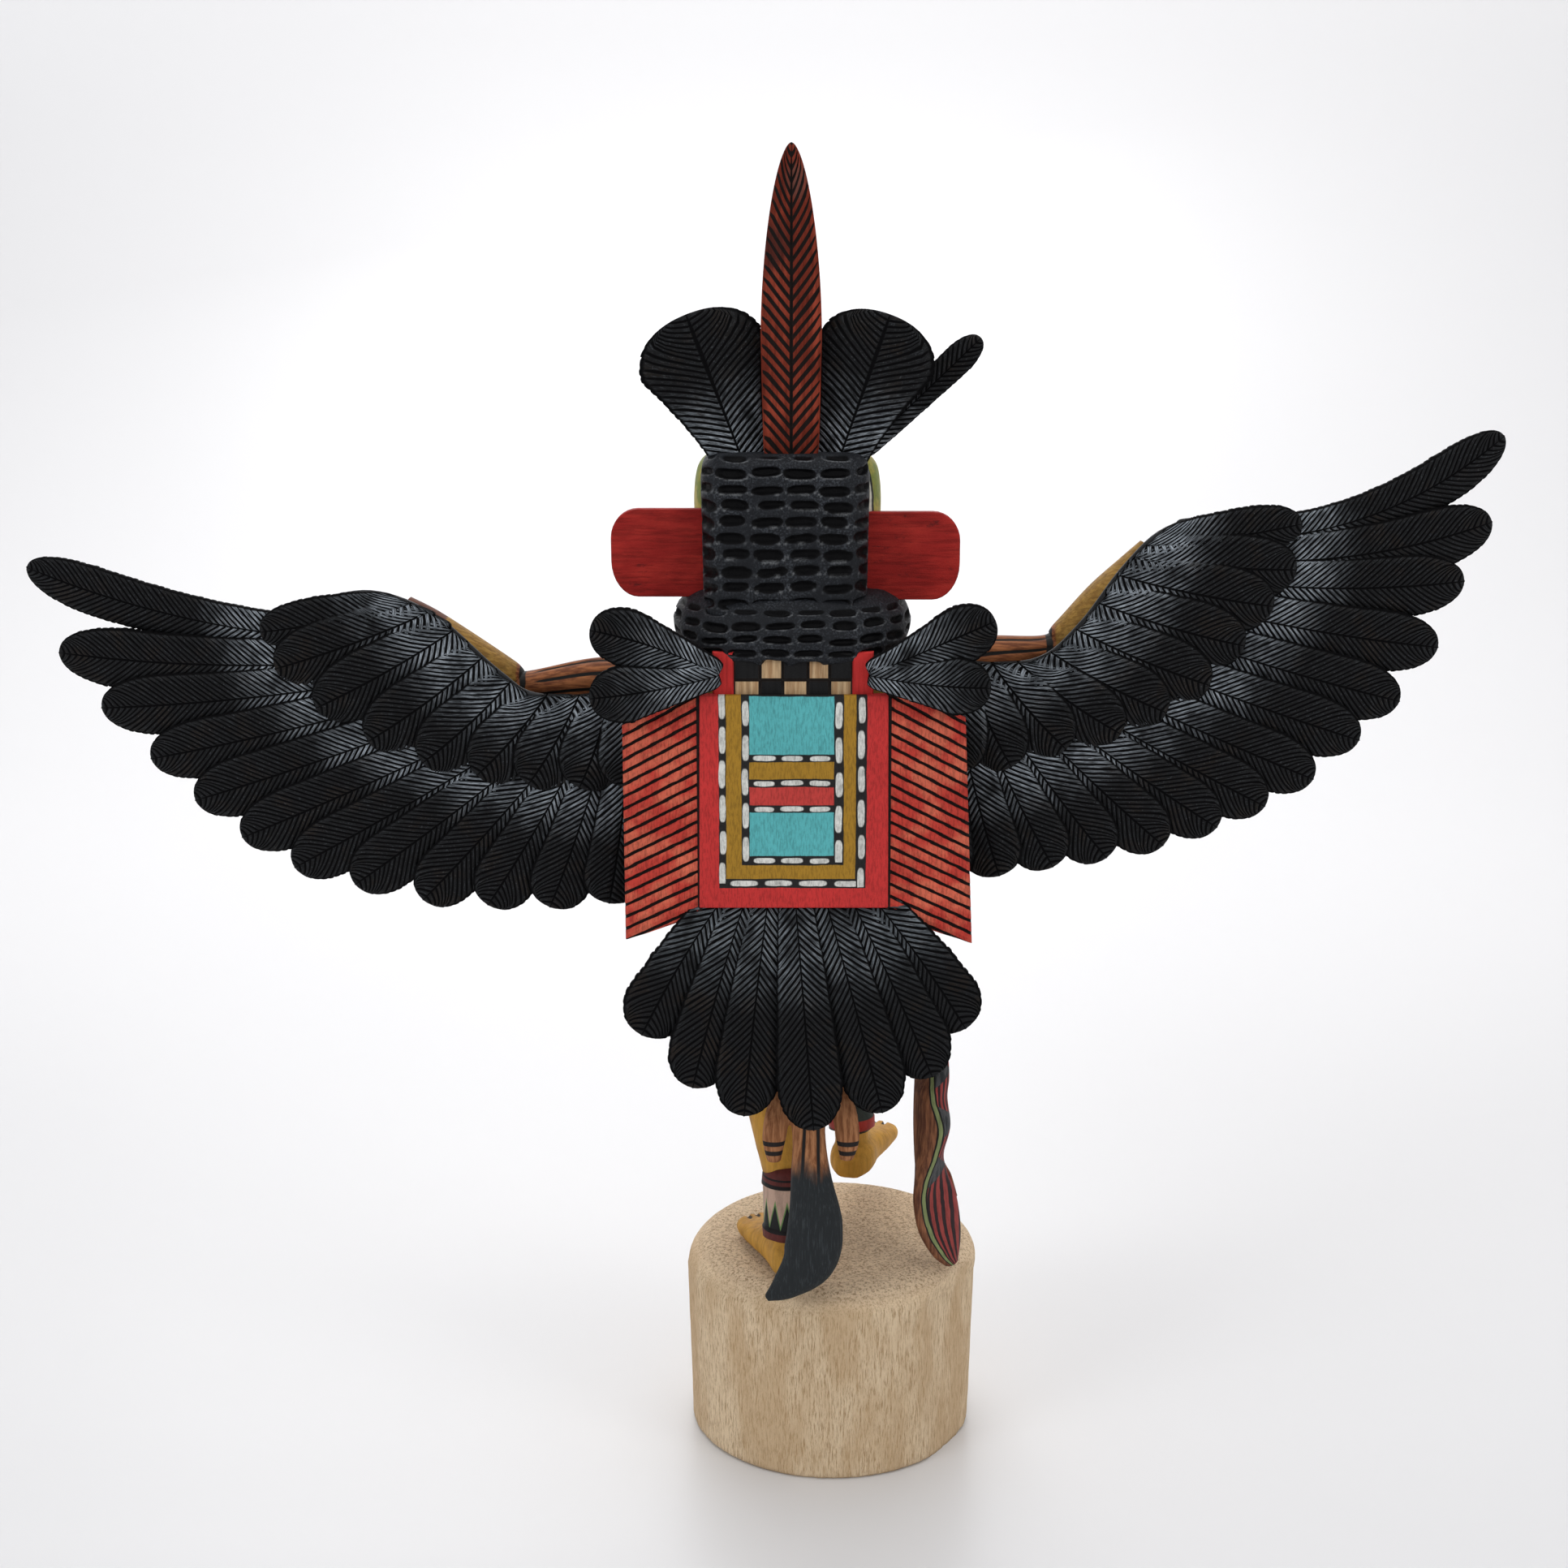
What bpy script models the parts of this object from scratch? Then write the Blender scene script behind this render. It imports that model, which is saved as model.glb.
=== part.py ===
"""An eagle dancer kachina doll, carved in cottonwood and painted, on a round base.

The doll faces -Y and its own left is +X. The origin is the centre of the base's underside.
"""

import math

import bmesh
import bpy
from mathutils import Vector

MM = 0.001

# Driving sizes
BASE_DIAMETER = 100 * MM
BASE_HEIGHT = 70 * MM
BASE_RIM = 9 * MM  # radius of the rounded top edge
FIGURE_HEIGHT = 281 * MM  # foot to the top of the hair
WING_REACH = 257 * MM  # from the doll's axis to the longest feather's tip
WING_SWEEP = 16 * MM  # how far the wing tips come forward
FLIGHT_WIDTH = 21 * MM
COVERT_WIDTH = 23 * MM
TAIL_WIDTH = 22.6 * MM  # of one tail feather
FEATHER_THICK = 3 * MM
FEATHER_RISE = 0.9 * MM  # how far a shaft stands above the feather's edges
SHINGLE = math.radians(7)  # turn that lays each feather over the one outside it
RED_FEATHER_HEIGHT = 101 * MM
RED_FEATHER_WIDTH = 19.4 * MM
CREST_WIDTH = 41 * MM  # of the broad black feathers
SHOULDER_WIDTH = 19 * MM  # of one shoulder feather
TABLET_WIDTH = 60.8 * MM
TABLET_HEIGHT = 73 * MM
TABLET_THICK = 4.5 * MM
HEADER_WIDTH = 51.3 * MM
HEADER_THICK = 3.6 * MM
FRINGE_WIDTH = 26 * MM
FRINGE_THICK = 3 * MM
EAR_REACH = 30.4 * MM
EAR_HEIGHT = 29 * MM
EAR_THICK = 4 * MM
SASH_THICK = 2.4 * MM
GAP = 0.3 * MM  # clearance left between pieces that touch

# The doll stands off the middle of its base, and its carving is drawn in shares of its own height
AXIS_X = 0.137 * BASE_DIAMETER
FEET = BASE_HEIGHT + GAP
UNIT = FIGURE_HEIGHT / 281
WING_Y = 23 * UNIT
TABLET_TOP = 207 * UNIT
TABLET_FRONT = 38 * UNIT
TABLET_BACK = TABLET_FRONT + TABLET_THICK


def at(x, y, z):
    """A point on the doll: from its axis, and up from its feet."""
    return Vector((AXIS_X + x * UNIT, y * UNIT, FEET + z * UNIT))


def paint(name, colour, roughness=0.75):
    made = bpy.data.materials.new(name)
    made.use_nodes = True
    shader = made.node_tree.nodes["Principled BSDF"]
    shader.inputs["Base Color"].default_value = (*colour, 1.0)
    shader.inputs["Roughness"].default_value = roughness
    return made


def solid(name, points, faces):
    """A closed mesh object with its faces turned outwards."""
    mesh = bpy.data.meshes.new(name)
    mesh.from_pydata([tuple(p) for p in points], [], faces)
    work = bmesh.new()
    work.from_mesh(mesh)
    bmesh.ops.recalc_face_normals(work, faces=work.faces)
    bmesh.ops.triangulate(work, faces=work.faces)
    work.to_mesh(mesh)
    work.free()
    made = bpy.data.objects.new(name, mesh)
    bpy.context.scene.collection.objects.link(made)
    return made


def loft(name, rings):
    """A solid through rings that hold the same number of points."""
    count = len(rings[0])
    points = [p for ring in rings for p in ring]
    faces = [tuple(range(count))]
    for row in range(len(rings) - 1):
        for i in range(count):
            j = (i + 1) % count
            low = row * count
            faces.append((low + i, low + j, low + count + j, low + count + i))
    last = (len(rings) - 1) * count
    faces.append(tuple(reversed(range(last, last + count))))
    return solid(name, points, faces)


def oval(x, y, z, half_x, half_y, count=12, power=2.0, lean=0.0):
    """A level ring on the doll. A power above 2 squares it, and lean tips its back edge down."""
    ring = []
    for i in range(count):
        turn = 2 * math.pi * (i + 0.5) / count
        c = math.cos(turn)
        s = math.sin(turn)
        px = math.copysign(abs(c) ** (2 / power), c) * half_x
        py = math.copysign(abs(s) ** (2 / power), s) * half_y
        ring.append(at(x + px, y + py, z - lean * py))
    return ring


def limb(name, stations, count=8, width_axis=Vector((1, 0, 0))):
    """A round limb through stations of x, y, z, half width and half depth."""
    spots = [at(*station[:3]) for station in stations]
    rings = []
    for i, station in enumerate(stations):
        before = spots[max(i - 1, 0)]
        after = spots[min(i + 1, len(spots) - 1)]
        along = (after - before).normalized()
        side = (width_axis - along * width_axis.dot(along)).normalized()
        depth = side.cross(along)
        ring = []
        for k in range(count):
            turn = 2 * math.pi * (k + 0.5) / count
            across = side * math.cos(turn) * station[3] * UNIT
            ring.append(spots[i] + across + depth * math.sin(turn) * station[4] * UNIT)
        rings.append(ring)
    return loft(name, rings)


def settle(made, modifier):
    """Applies one modifier and leaves the plain mesh."""
    graph = bpy.context.evaluated_depsgraph_get()
    graph.update()
    fresh = bpy.data.meshes.new_from_object(made.evaluated_get(graph))
    made.modifiers.remove(modifier)
    work = bmesh.new()
    work.from_mesh(fresh)
    bmesh.ops.dissolve_limit(work, angle_limit=math.radians(0.4), verts=work.verts, edges=work.edges)
    bmesh.ops.triangulate(work, faces=work.faces)
    work.to_mesh(fresh)
    work.free()
    made.data = fresh


def unite(name, pieces):
    """Joins overlapping solids into one carving."""
    first = pieces[0]
    for other in pieces[1:]:
        step = first.modifiers.new("Join", "BOOLEAN")
        step.operation = "UNION"
        step.solver = "EXACT"
        step.object = other
        settle(first, step)
        bpy.data.objects.remove(other)
    first.name = name
    return first


def grown(other, by):
    """A copy of a piece that is thicker by a clearance all round."""
    work = bmesh.new()
    work.from_mesh(other.data)
    work.normal_update()
    moves = [v.normal * by * min(v.calc_shell_factor(), 2.5) for v in work.verts]
    for v, move in zip(work.verts, moves):
        v.co += move
    mesh = bpy.data.meshes.new("Room")
    work.to_mesh(mesh)
    work.free()
    room = bpy.data.objects.new("Room", mesh)
    room.matrix_world = other.matrix_world
    bpy.context.scene.collection.objects.link(room)
    return room


def cut(piece, tool):
    """Takes a solid away from a piece."""
    step = piece.modifiers.new("Cut", "BOOLEAN")
    step.operation = "DIFFERENCE"
    step.solver = "EXACT"
    step.object = tool
    settle(piece, step)
    bpy.data.objects.remove(tool)


def make_room(piece, *others):
    """Cuts a piece back from those it lies against."""
    for other in others:
        cut(piece, grown(other, GAP))
    keep_main_body(piece)


def keep_main_body(piece):
    """Drops the chips that a cut has freed."""
    work = bmesh.new()
    work.from_mesh(piece.data)
    bmesh.ops.remove_doubles(work, verts=work.verts, dist=0.002 * MM)
    left = set(work.faces)
    bodies = []
    while left:
        queue = [left.pop()]
        body = set(queue)
        while queue:
            for edge in queue.pop().edges:
                for face in edge.link_faces:
                    if face in left:
                        left.remove(face)
                        body.add(face)
                        queue.append(face)
        bodies.append(body)
    bodies.sort(key=lambda body: sum(face.calc_area() for face in body))
    chips = [face for body in bodies[:-1] for face in body]
    bmesh.ops.delete(work, geom=chips, context="FACES")
    work.to_mesh(piece.data)
    work.free()


def curve(points, t):
    """A smooth curve through a few points, from t = 0 to 1."""
    spans = len(points) - 1
    i = min(int(t * spans), spans - 1)
    f = t * spans - i
    p1 = Vector(points[i])
    p2 = Vector(points[i + 1])
    p0 = Vector(points[i - 1]) if i else p1 * 2 - p2
    p3 = Vector(points[i + 2]) if i + 2 <= spans else p2 * 2 - p1
    a = (p2 - p0) * 0.5
    b = (p3 - p1) * 0.5
    f2 = f * f
    f3 = f2 * f
    near = p1 * (2 * f3 - 3 * f2 + 1) + p2 * (3 * f2 - 2 * f3)
    return near + a * (f3 - 2 * f2 + f) + b * (f3 - f2)


def outline(kind):
    """Half widths along a feather as shares of its widest, from root to tip."""
    if kind == "covert":
        return [(0.0, 0.7), (0.6, 1.0), (0.88, 0.78), (1.0, 0.34)]
    if kind == "paddle":
        return [(0.0, 0.42), (0.25, 0.5), (0.5, 0.78), (0.72, 1.0), (0.9, 0.8), (1.0, 0.38)]
    if kind == "lance":
        return [(0.0, 0.8), (0.35, 1.0), (0.6, 0.95), (0.85, 0.55), (0.96, 0.35), (1.0, 0.12)]
    return [(0.0, 0.62), (0.3, 0.8), (0.6, 0.95), (0.8, 1.0), (0.93, 0.78), (1.0, 0.32)]


def feather(root, tip, width, bow, kind, surface, lift=0.0, tilt=SHINGLE):
    """One feather on a surface: bow bends its shaft sideways, and lift stands it off the surface."""
    root = Vector(root)
    tip = Vector(tip)
    line = tip - root
    middle = (root + tip) / 2 + Vector((-line.y, line.x)).normalized() * bow
    thick = FEATHER_THICK / UNIT
    rise = FEATHER_RISE / UNIT
    rings = []
    for along, share in outline(kind):
        spot = root * (1 - along) ** 2 + middle * 2 * along * (1 - along) + tip * along**2
        ahead = (middle - root) * (1 - along) + (tip - middle) * along
        reach = width / 2 / UNIT * share
        across = Vector((-ahead.y, ahead.x)).normalized() * reach
        drop = reach * math.tan(tilt)
        outer = spot + across
        inner = spot - across
        ring = [surface(outer.x, outer.y, lift + thick + drop)]
        ring.append(surface(spot.x, spot.y, lift + thick + rise))
        ring.append(surface(inner.x, inner.y, lift + thick - drop))
        ring.append(surface(inner.x, inner.y, lift - drop))
        ring.append(surface(outer.x, outer.y, lift + drop))
        rings.append(ring)
    return loft("Feather", rings)


def base():
    """The round block: a rounded top rim set a little to one side, and one flat shaved down its side."""
    low = BASE_DIAMETER / 2
    high = low * 1.03
    rim = BASE_RIM
    offset = -0.02 * BASE_DIAMETER
    flat_turn = math.radians(147)
    profile = [(low - 1.2 * MM, 0, 0), (low, 1.2 * MM, 0), (high, BASE_HEIGHT - rim * 1.2, 0)]
    for i in range(1, 6):
        turn = math.radians(90 * i / 5)
        radius = high - rim + rim * math.cos(turn)
        profile.append((radius, BASE_HEIGHT - rim + rim * math.sin(turn), offset * i / 5))
    rings = []
    for radius, height, shift in profile:
        ring = []
        for i in range(36):
            turn = 2 * math.pi * i / 36
            facing = math.cos(turn - flat_turn)
            reach = min(radius, low * 0.965 / facing) if facing > 0.5 else radius
            ring.append(Vector((shift + reach * math.cos(turn), reach * math.sin(turn), height)))
        rings.append(ring)
    return loft("base", rings)


def foot(name, heel, toes, sole, ankle_height):
    """A bare foot from heel to toes, with its sole level."""
    heel = Vector(heel)
    toes = Vector(toes)
    along = (toes - heel).normalized()
    side = Vector((-along.y, along.x))
    length = (toes - heel).length
    # share of the length, half width and height above the sole
    stations = [(0.0, 4.5, 7), (0.12, 8, ankle_height), (0.34, 8, ankle_height)]
    stations += [(0.6, 9.5, 10), (0.85, 10.5, 7), (1.0, 8, 5)]
    rings = []
    for share, half, height in stations:
        spot = heel + along * length * share
        left = spot + side * half
        right = spot - side * half
        upper_left = spot + side * half * 0.7
        upper_right = spot - side * half * 0.7
        ring = [at(left.x, left.y, sole), at(right.x, right.y, sole)]
        ring.append(at(right.x, right.y, sole + height * 0.55))
        ring.append(at(upper_right.x, upper_right.y, sole + height))
        ring.append(at(upper_left.x, upper_left.y, sole + height))
        ring.append(at(left.x, left.y, sole + height * 0.55))
        rings.append(ring)
    return loft(name, rings)


def figure():
    """The carving from one root: legs, kilt, body, ruff and head."""
    parts = []
    # The kilt flares on the side of the raised thigh
    kilt = [oval(-3, 8, 84, 39, 28, 16, 2.4), oval(-3.5, 9, 95, 40, 28, 16, 2.4)]
    kilt += [oval(-5, 12, 124, 38.5, 24.5, 16, 2.4), oval(0, 16, 147, 26, 20.5, 16, 2.4)]
    parts.append(loft("Kilt", kilt))
    belt = [oval(0, 16, 143, 28.5, 21.6, 16, 2.4), oval(0, 16, 153, 28, 21.4, 16, 2.4)]
    parts.append(loft("Belt", belt))
    body = [oval(0, 16, 140, 25, 19, 12), oval(0, 17, 160, 23, 18, 12), oval(0, 17, 182, 28, 20, 12)]
    body += [oval(0, 16, 199, 32, 19, 12), oval(0, 13, 209, 28, 16, 12), oval(1, 9, 224, 15, 13, 12)]
    parts.append(loft("Body", body))
    # The standing leg is the doll's left, and the other is lifted in front
    standing = [(11, 14, 100, 12, 12), (10.5, 9, 78, 10.5, 10.5), (7.5, 17, 62, 10, 10.5)]
    standing += [(4.8, 25, 46, 8.5, 9), (2.8, 30, 30, 6.5, 7), (2, 32, 14, 6.3, 6.8), (2, 32, 6, 6, 6.5)]
    parts.append(limb("Leg", standing))
    parts.append(foot("Foot", (-2, 43), (11.5, -3), 0, 13))
    anklet = [(2.4, 30, 34, 8.4, 8.8), (2, 32, 13, 8.6, 9)]
    parts.append(limb("Anklet", anklet))
    raised = [(-14, 6, 100, 13, 13), (-17, -22, 90, 12, 12), (-18, -34, 80, 10.5, 10.5)]
    raised += [(-19, -32, 66, 10, 10), (-20, -25, 50, 8, 8.5), (-21, -19, 37, 6.5, 7)]
    raised.append((-22, -18, 25, 6, 6.5))
    parts.append(limb("Raised leg", raised))
    parts.append(foot("Raised foot", (-20, -7), (-31, -50), 17, 12))
    cuff = [(-20, -26, 52, 9.6, 10.2), (-21, -20, 39, 8.4, 8.8)]
    parts.append(limb("Raised anklet", cuff))
    # Ruff of fir round the neck
    ruff = [oval(0.5, 8, 213, 29, 25, 16), oval(0.5, 8, 218, 36.5, 31, 16), oval(0.5, 8, 225, 39.5, 33, 16)]
    ruff += [oval(0.5, 8, 231, 37, 31, 16), oval(0.5, 8, 236, 30, 27, 16)]
    parts.append(loft("Ruff", ruff))
    # Hair block at the back and mask in front
    hair = [oval(2.8, 16, 226, 26, 20, 16, 5), oval(2.8, 16, 232, 26.6, 20.5, 16, 5)]
    hair += [oval(2.8, 16, 274, 27.2, 20.5, 16, 5), oval(2.8, 15, 281, 23, 17, 16, 4)]
    parts.append(loft("Hair", hair))
    mask = [oval(2, -2, 226, 26, 22, 16, 2.6), oval(2, -2, 240, 30, 24, 16, 2.8)]
    mask += [oval(2, -2, 268, 31, 24, 16, 2.8), oval(2, -1, 277, 28.5, 22, 16, 2.6)]
    mask.append(oval(2, 0, 280, 22, 17, 16, 2.4))
    parts.append(loft("Mask", mask))
    beak = [(2, -18, 254, 9, 9), (2, -32, 253, 7, 7.5), (2, -42, 247, 4.5, 5), (2, -45, 238, 1.6, 1.8)]
    parts.append(limb("Beak", beak))
    return unite("figure", parts)


def arm(name, sign, stations):
    """An arm in front of its wing, through stations of reach, depth, height and half thickness."""
    path = [(sign * a, y, z, half, half * 1.15) for a, y, z, half in stations]
    return limb(name, path, width_axis=Vector((0, 0, 1)))


def arms():
    left = [(22, 12, 203, 8), (45, 11, 204, 8), (66, 10, 204.5, 7), (91, 9, 201.5, 5.2)]
    left += [(97, 8.5, 205, 6.2), (112, 7, 215, 6.2), (122, 5, 223, 4.6), (130, 4, 228.5, 3.6)]
    right = [(22, 12, 204, 8), (45, 11, 209, 8), (64, 10, 212, 7), (85, 9, 214, 5.2)]
    right += [(92, 8.5, 219, 6.2), (103, 7, 231, 6.2), (112, 5, 241, 4.6), (118, 4, 248, 3.6)]
    return arm("arm_left", 1, left), arm("arm_right", -1, right)


def wing_surface(sign):
    """Places a point that is out along a wing, above the shoulder and off its surface."""
    stretch = WING_REACH / (257 * UNIT)

    def place(out, up, off):
        sweep = WING_SWEEP * (max(out - 40, 0) / 210) ** 2
        return at(sign * out * stretch, (WING_Y - sweep) / UNIT + off, 205 + up)

    return place


def wing(name, sign, tips, roots, coverts, covert_roots, edge, first_bow):
    """Long feathers under a row of coverts, each laid over the one outside it, and a front edge."""
    place = wing_surface(sign)
    made = []
    last = len(tips) - 1
    for i, tip in enumerate(tips):
        share = i / last
        bow = -first_bow * (1 - share) ** 8 - 1.5
        width = FLIGHT_WIDTH if i else 0.81 * FLIGHT_WIDTH
        made.append(feather(curve(roots, share), tip, width, bow, "flight", place))
    last = len(coverts) - 1
    for i, tip in enumerate(coverts):
        width = COVERT_WIDTH if i else 0.83 * COVERT_WIDTH
        root = curve(covert_roots, i / last)
        made.append(feather(root, tip, width, -2.0, "covert", place, 0.73 * FEATHER_THICK / UNIT))
    rim = []
    for i in range(9):
        out, up = curve(edge, i / 8)
        x, y, z = (place(out, up, 0.87 * FEATHER_THICK / UNIT) - at(0, 0, 0)) / UNIT
        rim.append((x, y, z - 2.3, 4.2, 0.87 * FEATHER_THICK / UNIT))
    made.append(limb("Front edge", rim, 6, Vector((0, 0, 1))))
    return unite(name, made)


def left_wing():
    """Points lie out along the wing and above the shoulder, and tips run from the wing's end inwards."""
    tips = [(254.5, 37), (245.5, 8.5), (232, -10), (216, -27), (201.5, -41), (186, -53.5)]
    tips += [(168.5, -63.5), (148, -69), (125, -74), (103, -75.5), (82, -76), (62, -74.5), (46, -72)]
    roots = [(128, 10), (112, 0), (92, -18), (72, -24), (46, -24)]
    coverts = [(176, 18.5), (171, 5), (158, -8), (141, -19), (123, -26), (105, -30)]
    coverts += [(88, -33), (71, -34), (55, -34)]
    covert_roots = [(132, 26), (120, 19), (103, 6), (85, -4), (67, -5), (50, -5)]
    edge = [(172, 24), (152, 29), (136, 30.5), (118, 23), (98, 5), (84, -3), (52, -3)]
    return wing("wing_left", 1, tips, roots, coverts, covert_roots, edge, 11)


def right_wing():
    """This wing is raised a little higher, and bent more at its wrist."""
    tips = [(231.5, 80.5), (229.5, 52.5), (221.5, 33), (214, 11), (202, -7), (189, -20), (174, -33)]
    tips += [(158, -42), (142, -49), (124, -55), (105, -59), (87, -62), (69, -65), (51, -66)]
    roots = [(124, 50), (110, 30), (88, 2), (70, -10), (48, -14)]
    coverts = [(165, 53), (164, 38), (157, 26), (148, 13), (137, 0), (123, -9), (108, -16)]
    coverts += [(90, -21), (72, -27), (54, -29)]
    covert_roots = [(119, 47), (108, 37.5), (96, 21.5), (81, 9), (64, 6), (48, 5)]
    edge = [(160, 55), (141, 55.5), (122, 52), (109, 40), (95, 21), (80, 9), (52, 7)]
    return wing("wing_right", -1, tips, roots, coverts, covert_roots, edge, 24)


def tail():
    """Seven feathers spread below the tablet, the middle one laid over those on either side."""
    top = (TABLET_TOP - TABLET_HEIGHT - GAP) / UNIT

    def place(out, up, off):
        back = TABLET_FRONT / UNIT + 0.3 - up / 3
        return at(out, back + off, top + up)

    roots = [(23.5, 0), (15, 5), (8, 7), (0, 8), (-9, 7), (-17, 5), (-25, 1)]
    tips = [(49.5, -40), (34, -56), (16.3, -65), (-6.5, -69), (-29, -64), (-45.5, -53), (-56.5, -38)]
    made = []
    for i, (root, tip) in enumerate(zip(roots, tips)):
        lay = SHINGLE if i < 3 else -SHINGLE
        lift = 0.0
        if i == 3:
            lay = 0.0
            lift = 0.4 * FEATHER_THICK / UNIT
        made.append(feather(root, tip, TAIL_WIDTH, 2.4 - 0.8 * i, "flight", place, lift, lay))
    fan = unite("tail_fan", made)
    low = top * UNIT
    reach = 0.3 * FIGURE_HEIGHT
    corners = [(reach, low), (-reach, low), (-reach, low + reach), (reach, low + reach)]
    cut(fan, board("Above the fan", corners, 0.0, reach))
    return fan


def crest(name, root, tip, width, kind, y, turn=0.0):
    """A single standing feather, turned about its own line."""

    def place(out, up, off):
        return at(out, y + math.tan(turn) * (out - root[0]) + off - 1.5, up)

    made = feather(root, tip, width, 0.0, kind, place, tilt=0.0)
    made.name = name
    return made


def shoulder_pair(name, sign, upper, lower, bow):
    """Two feathers that spread from one root over the shoulder, laid on the tablet's back."""

    def place(out, up, off):
        return at(sign * out, (TABLET_BACK + GAP) / UNIT + off, up)

    root = (24, 212.5)
    made = [feather(root, upper, SHOULDER_WIDTH, bow, "paddle", place, tilt=0.0)]
    made.append(feather(root, lower, SHOULDER_WIDTH, -2.0, "paddle", place, 0.8, tilt=0.0))
    return unite(name, made)


def board(name, corners, front, thick, forward=0.0):
    """A flat board from its outline in metres from the axis, swung forward from its first corner."""
    near = []
    far = []
    for x, z in corners:
        y = front - forward * abs(x - corners[0][0])
        near.append(Vector((AXIS_X + x, y, FEET + z)))
        far.append(Vector((AXIS_X + x, y + thick, FEET + z)))
    return loft(name, [near, far])


def back_tablet():
    """The panel, a little wider at its foot, with its narrower header."""
    half = TABLET_WIDTH / 2
    foot_half = half + 0.6 * MM
    low = TABLET_TOP - TABLET_HEIGHT
    corners = [(half, TABLET_TOP), (-half, TABLET_TOP), (-foot_half, low), (foot_half, low)]
    panel = board("Panel", corners, TABLET_FRONT, TABLET_THICK)
    half = HEADER_WIDTH / 2
    low = TABLET_TOP - 2 * MM
    high = TABLET_TOP + 12 * UNIT
    corners = [(half, high), (-half, high), (-half, low), (half, low)]
    header = board("Header", corners, TABLET_FRONT, HEADER_THICK)
    return unite("back_tablet", [panel, header])


def fringe(name, sign, spread):
    """A board beside the tablet, its ends cut to the slope of its grooves."""
    inner = TABLET_WIDTH / 2 + GAP
    low = TABLET_TOP - TABLET_HEIGHT - 2.4 * UNIT
    slope = 0.385 * FRINGE_WIDTH
    foot_out = inner + FRINGE_WIDTH - 1 * MM + spread
    corners = [(inner, TABLET_TOP), (inner + FRINGE_WIDTH - 1 * MM, TABLET_TOP - slope)]
    corners += [(foot_out, low - slope), (inner + 0.6 * MM, low)]
    corners = [(sign * x, z) for x, z in corners]
    return board(name, corners, TABLET_FRONT + GAP, FRINGE_THICK, 0.12)


def ear(name, sign, side, low):
    """A flat tab set into the side of the head, with rounded outer corners."""
    root = side - 8 * UNIT
    out = side + EAR_REACH
    high = low + EAR_HEIGHT
    soft = EAR_HEIGHT / 3
    corners = [(root, high), (root, low), (out - 0.9 * soft, low), (out - 0.3 * soft, low + 0.4 * soft)]
    corners += [(out, low + 1.15 * soft), (out, high - soft), (out - 0.4 * soft, high - 0.3 * soft)]
    corners.append((out - 1.1 * soft, high))
    corners = [(sign * x, z) for x, z in corners]
    return board(name, corners, 12 * UNIT, EAR_THICK)


def fox_pelt():
    """The pelt hangs from the belt behind the legs, its tail curling to a point."""
    path = [(-4, 37.6, 122, 8, 3), (-4, 45, 100, 9, 3.5), (-4.5, 49, 78, 8, 3.8), (-5, 52, 60, 5.6, 3.8)]
    path += [(-5.8, 54, 44, 6.8, 4.6), (-7.2, 55, 28, 9.2, 5.4), (-5.2, 55.5, 15, 9.2, 5)]
    path += [(2.5, 56, 6, 5.2, 3.4), (9.2, 56, 1.2, 1.2, 1)]
    left = [(-1, 47.5, 84, 3.6, 2.4), (4.5, 50, 68, 4.2, 2.6), (6.5, 51, 57, 4, 2.6)]
    left.append((6.5, 51, 48.5, 1.6, 1.4))
    right = [(-9, 47.5, 84, 3.6, 2.4), (-16, 50, 68, 4.2, 2.6), (-18, 51, 57, 4, 2.6)]
    right.append((-17.5, 51, 49, 1.6, 1.4))
    return unite("fox_pelt", [limb("Pelt", path), limb("Pelt leg", left), limb("Pelt leg", right)])


def strip(name, rows):
    """A flat strip through level rows: height, then one edge's x and y and the other's."""
    rings = []
    for z, ox, oy, ix, iy in rows:
        across = Vector((ix - ox, iy - oy)).normalized()
        shift = Vector((-across.y, across.x)) * SASH_THICK / UNIT / 2
        ring = [at(ox + shift.x, oy + shift.y, z), at(ix + shift.x, iy + shift.y, z)]
        ring += [at(ix - shift.x, iy - shift.y, z), at(ox - shift.x, oy - shift.y, z)]
        rings.append(ring)
    return loft(name, rings)


def sash():
    """A folded strip at the right hip that twists as it falls, with the second end behind it."""
    fall = [(126, -42, 22, -39, 6), (110, -46, 26, -41, 8), (90, -50, 29, -44, 12), (72, -52, 31, -47, 17)]
    fall += [(58, -53.5, 28, -41.5, 30), (46, -51.5, 24, -41.5, 31), (34, -52, 22, -42.5, 32)]
    fall += [(20, -56.5, 22, -44.5, 33), (8, -58, 23, -49.5, 33), (2.2, -56, 27, -53.5, 32)]
    second = [(60, -48, 27, -45, 14), (44, -50.5, 25, -46, 12), (36, -52, 23, -47.5, 10.5)]
    second += [(29, -55, 18, -50, 7.5), (20.5, -57, 16.5, -54.5, 8.5)]
    return unite("sash", [strip("Sash", fall), strip("Sash end", second)])


for old in list(bpy.data.objects):
    bpy.data.objects.remove(old)

block = base()
doll = figure()
wing_l = left_wing()
wing_r = right_wing()
arm_l, arm_r = arms()
tablet = back_tablet()
left_fringe = fringe("fringe_left", 1, 0.0)
right_fringe = fringe("fringe_right", -1, 3.5 * MM)
fan = tail()
pelt = fox_pelt()
hip_sash = sash()
left_ear = ear("ear_left", 1, 29.6 * UNIT, 233 * UNIT)
right_ear = ear("ear_right", -1, 24.2 * UNIT, 232 * UNIT)
crown = 276
red_tip = crown + RED_FEATHER_HEIGHT / UNIT
red_feather = crest("crest_feather_red", (0.9, crown), (0.9, red_tip), RED_FEATHER_WIDTH, "lance", 26)
left_crest = crest("crest_feather_left", (16, 277), (34.3, 324.5), CREST_WIDTH, "paddle", 20, 0.1)
narrower = 0.95 * CREST_WIDTH
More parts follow.
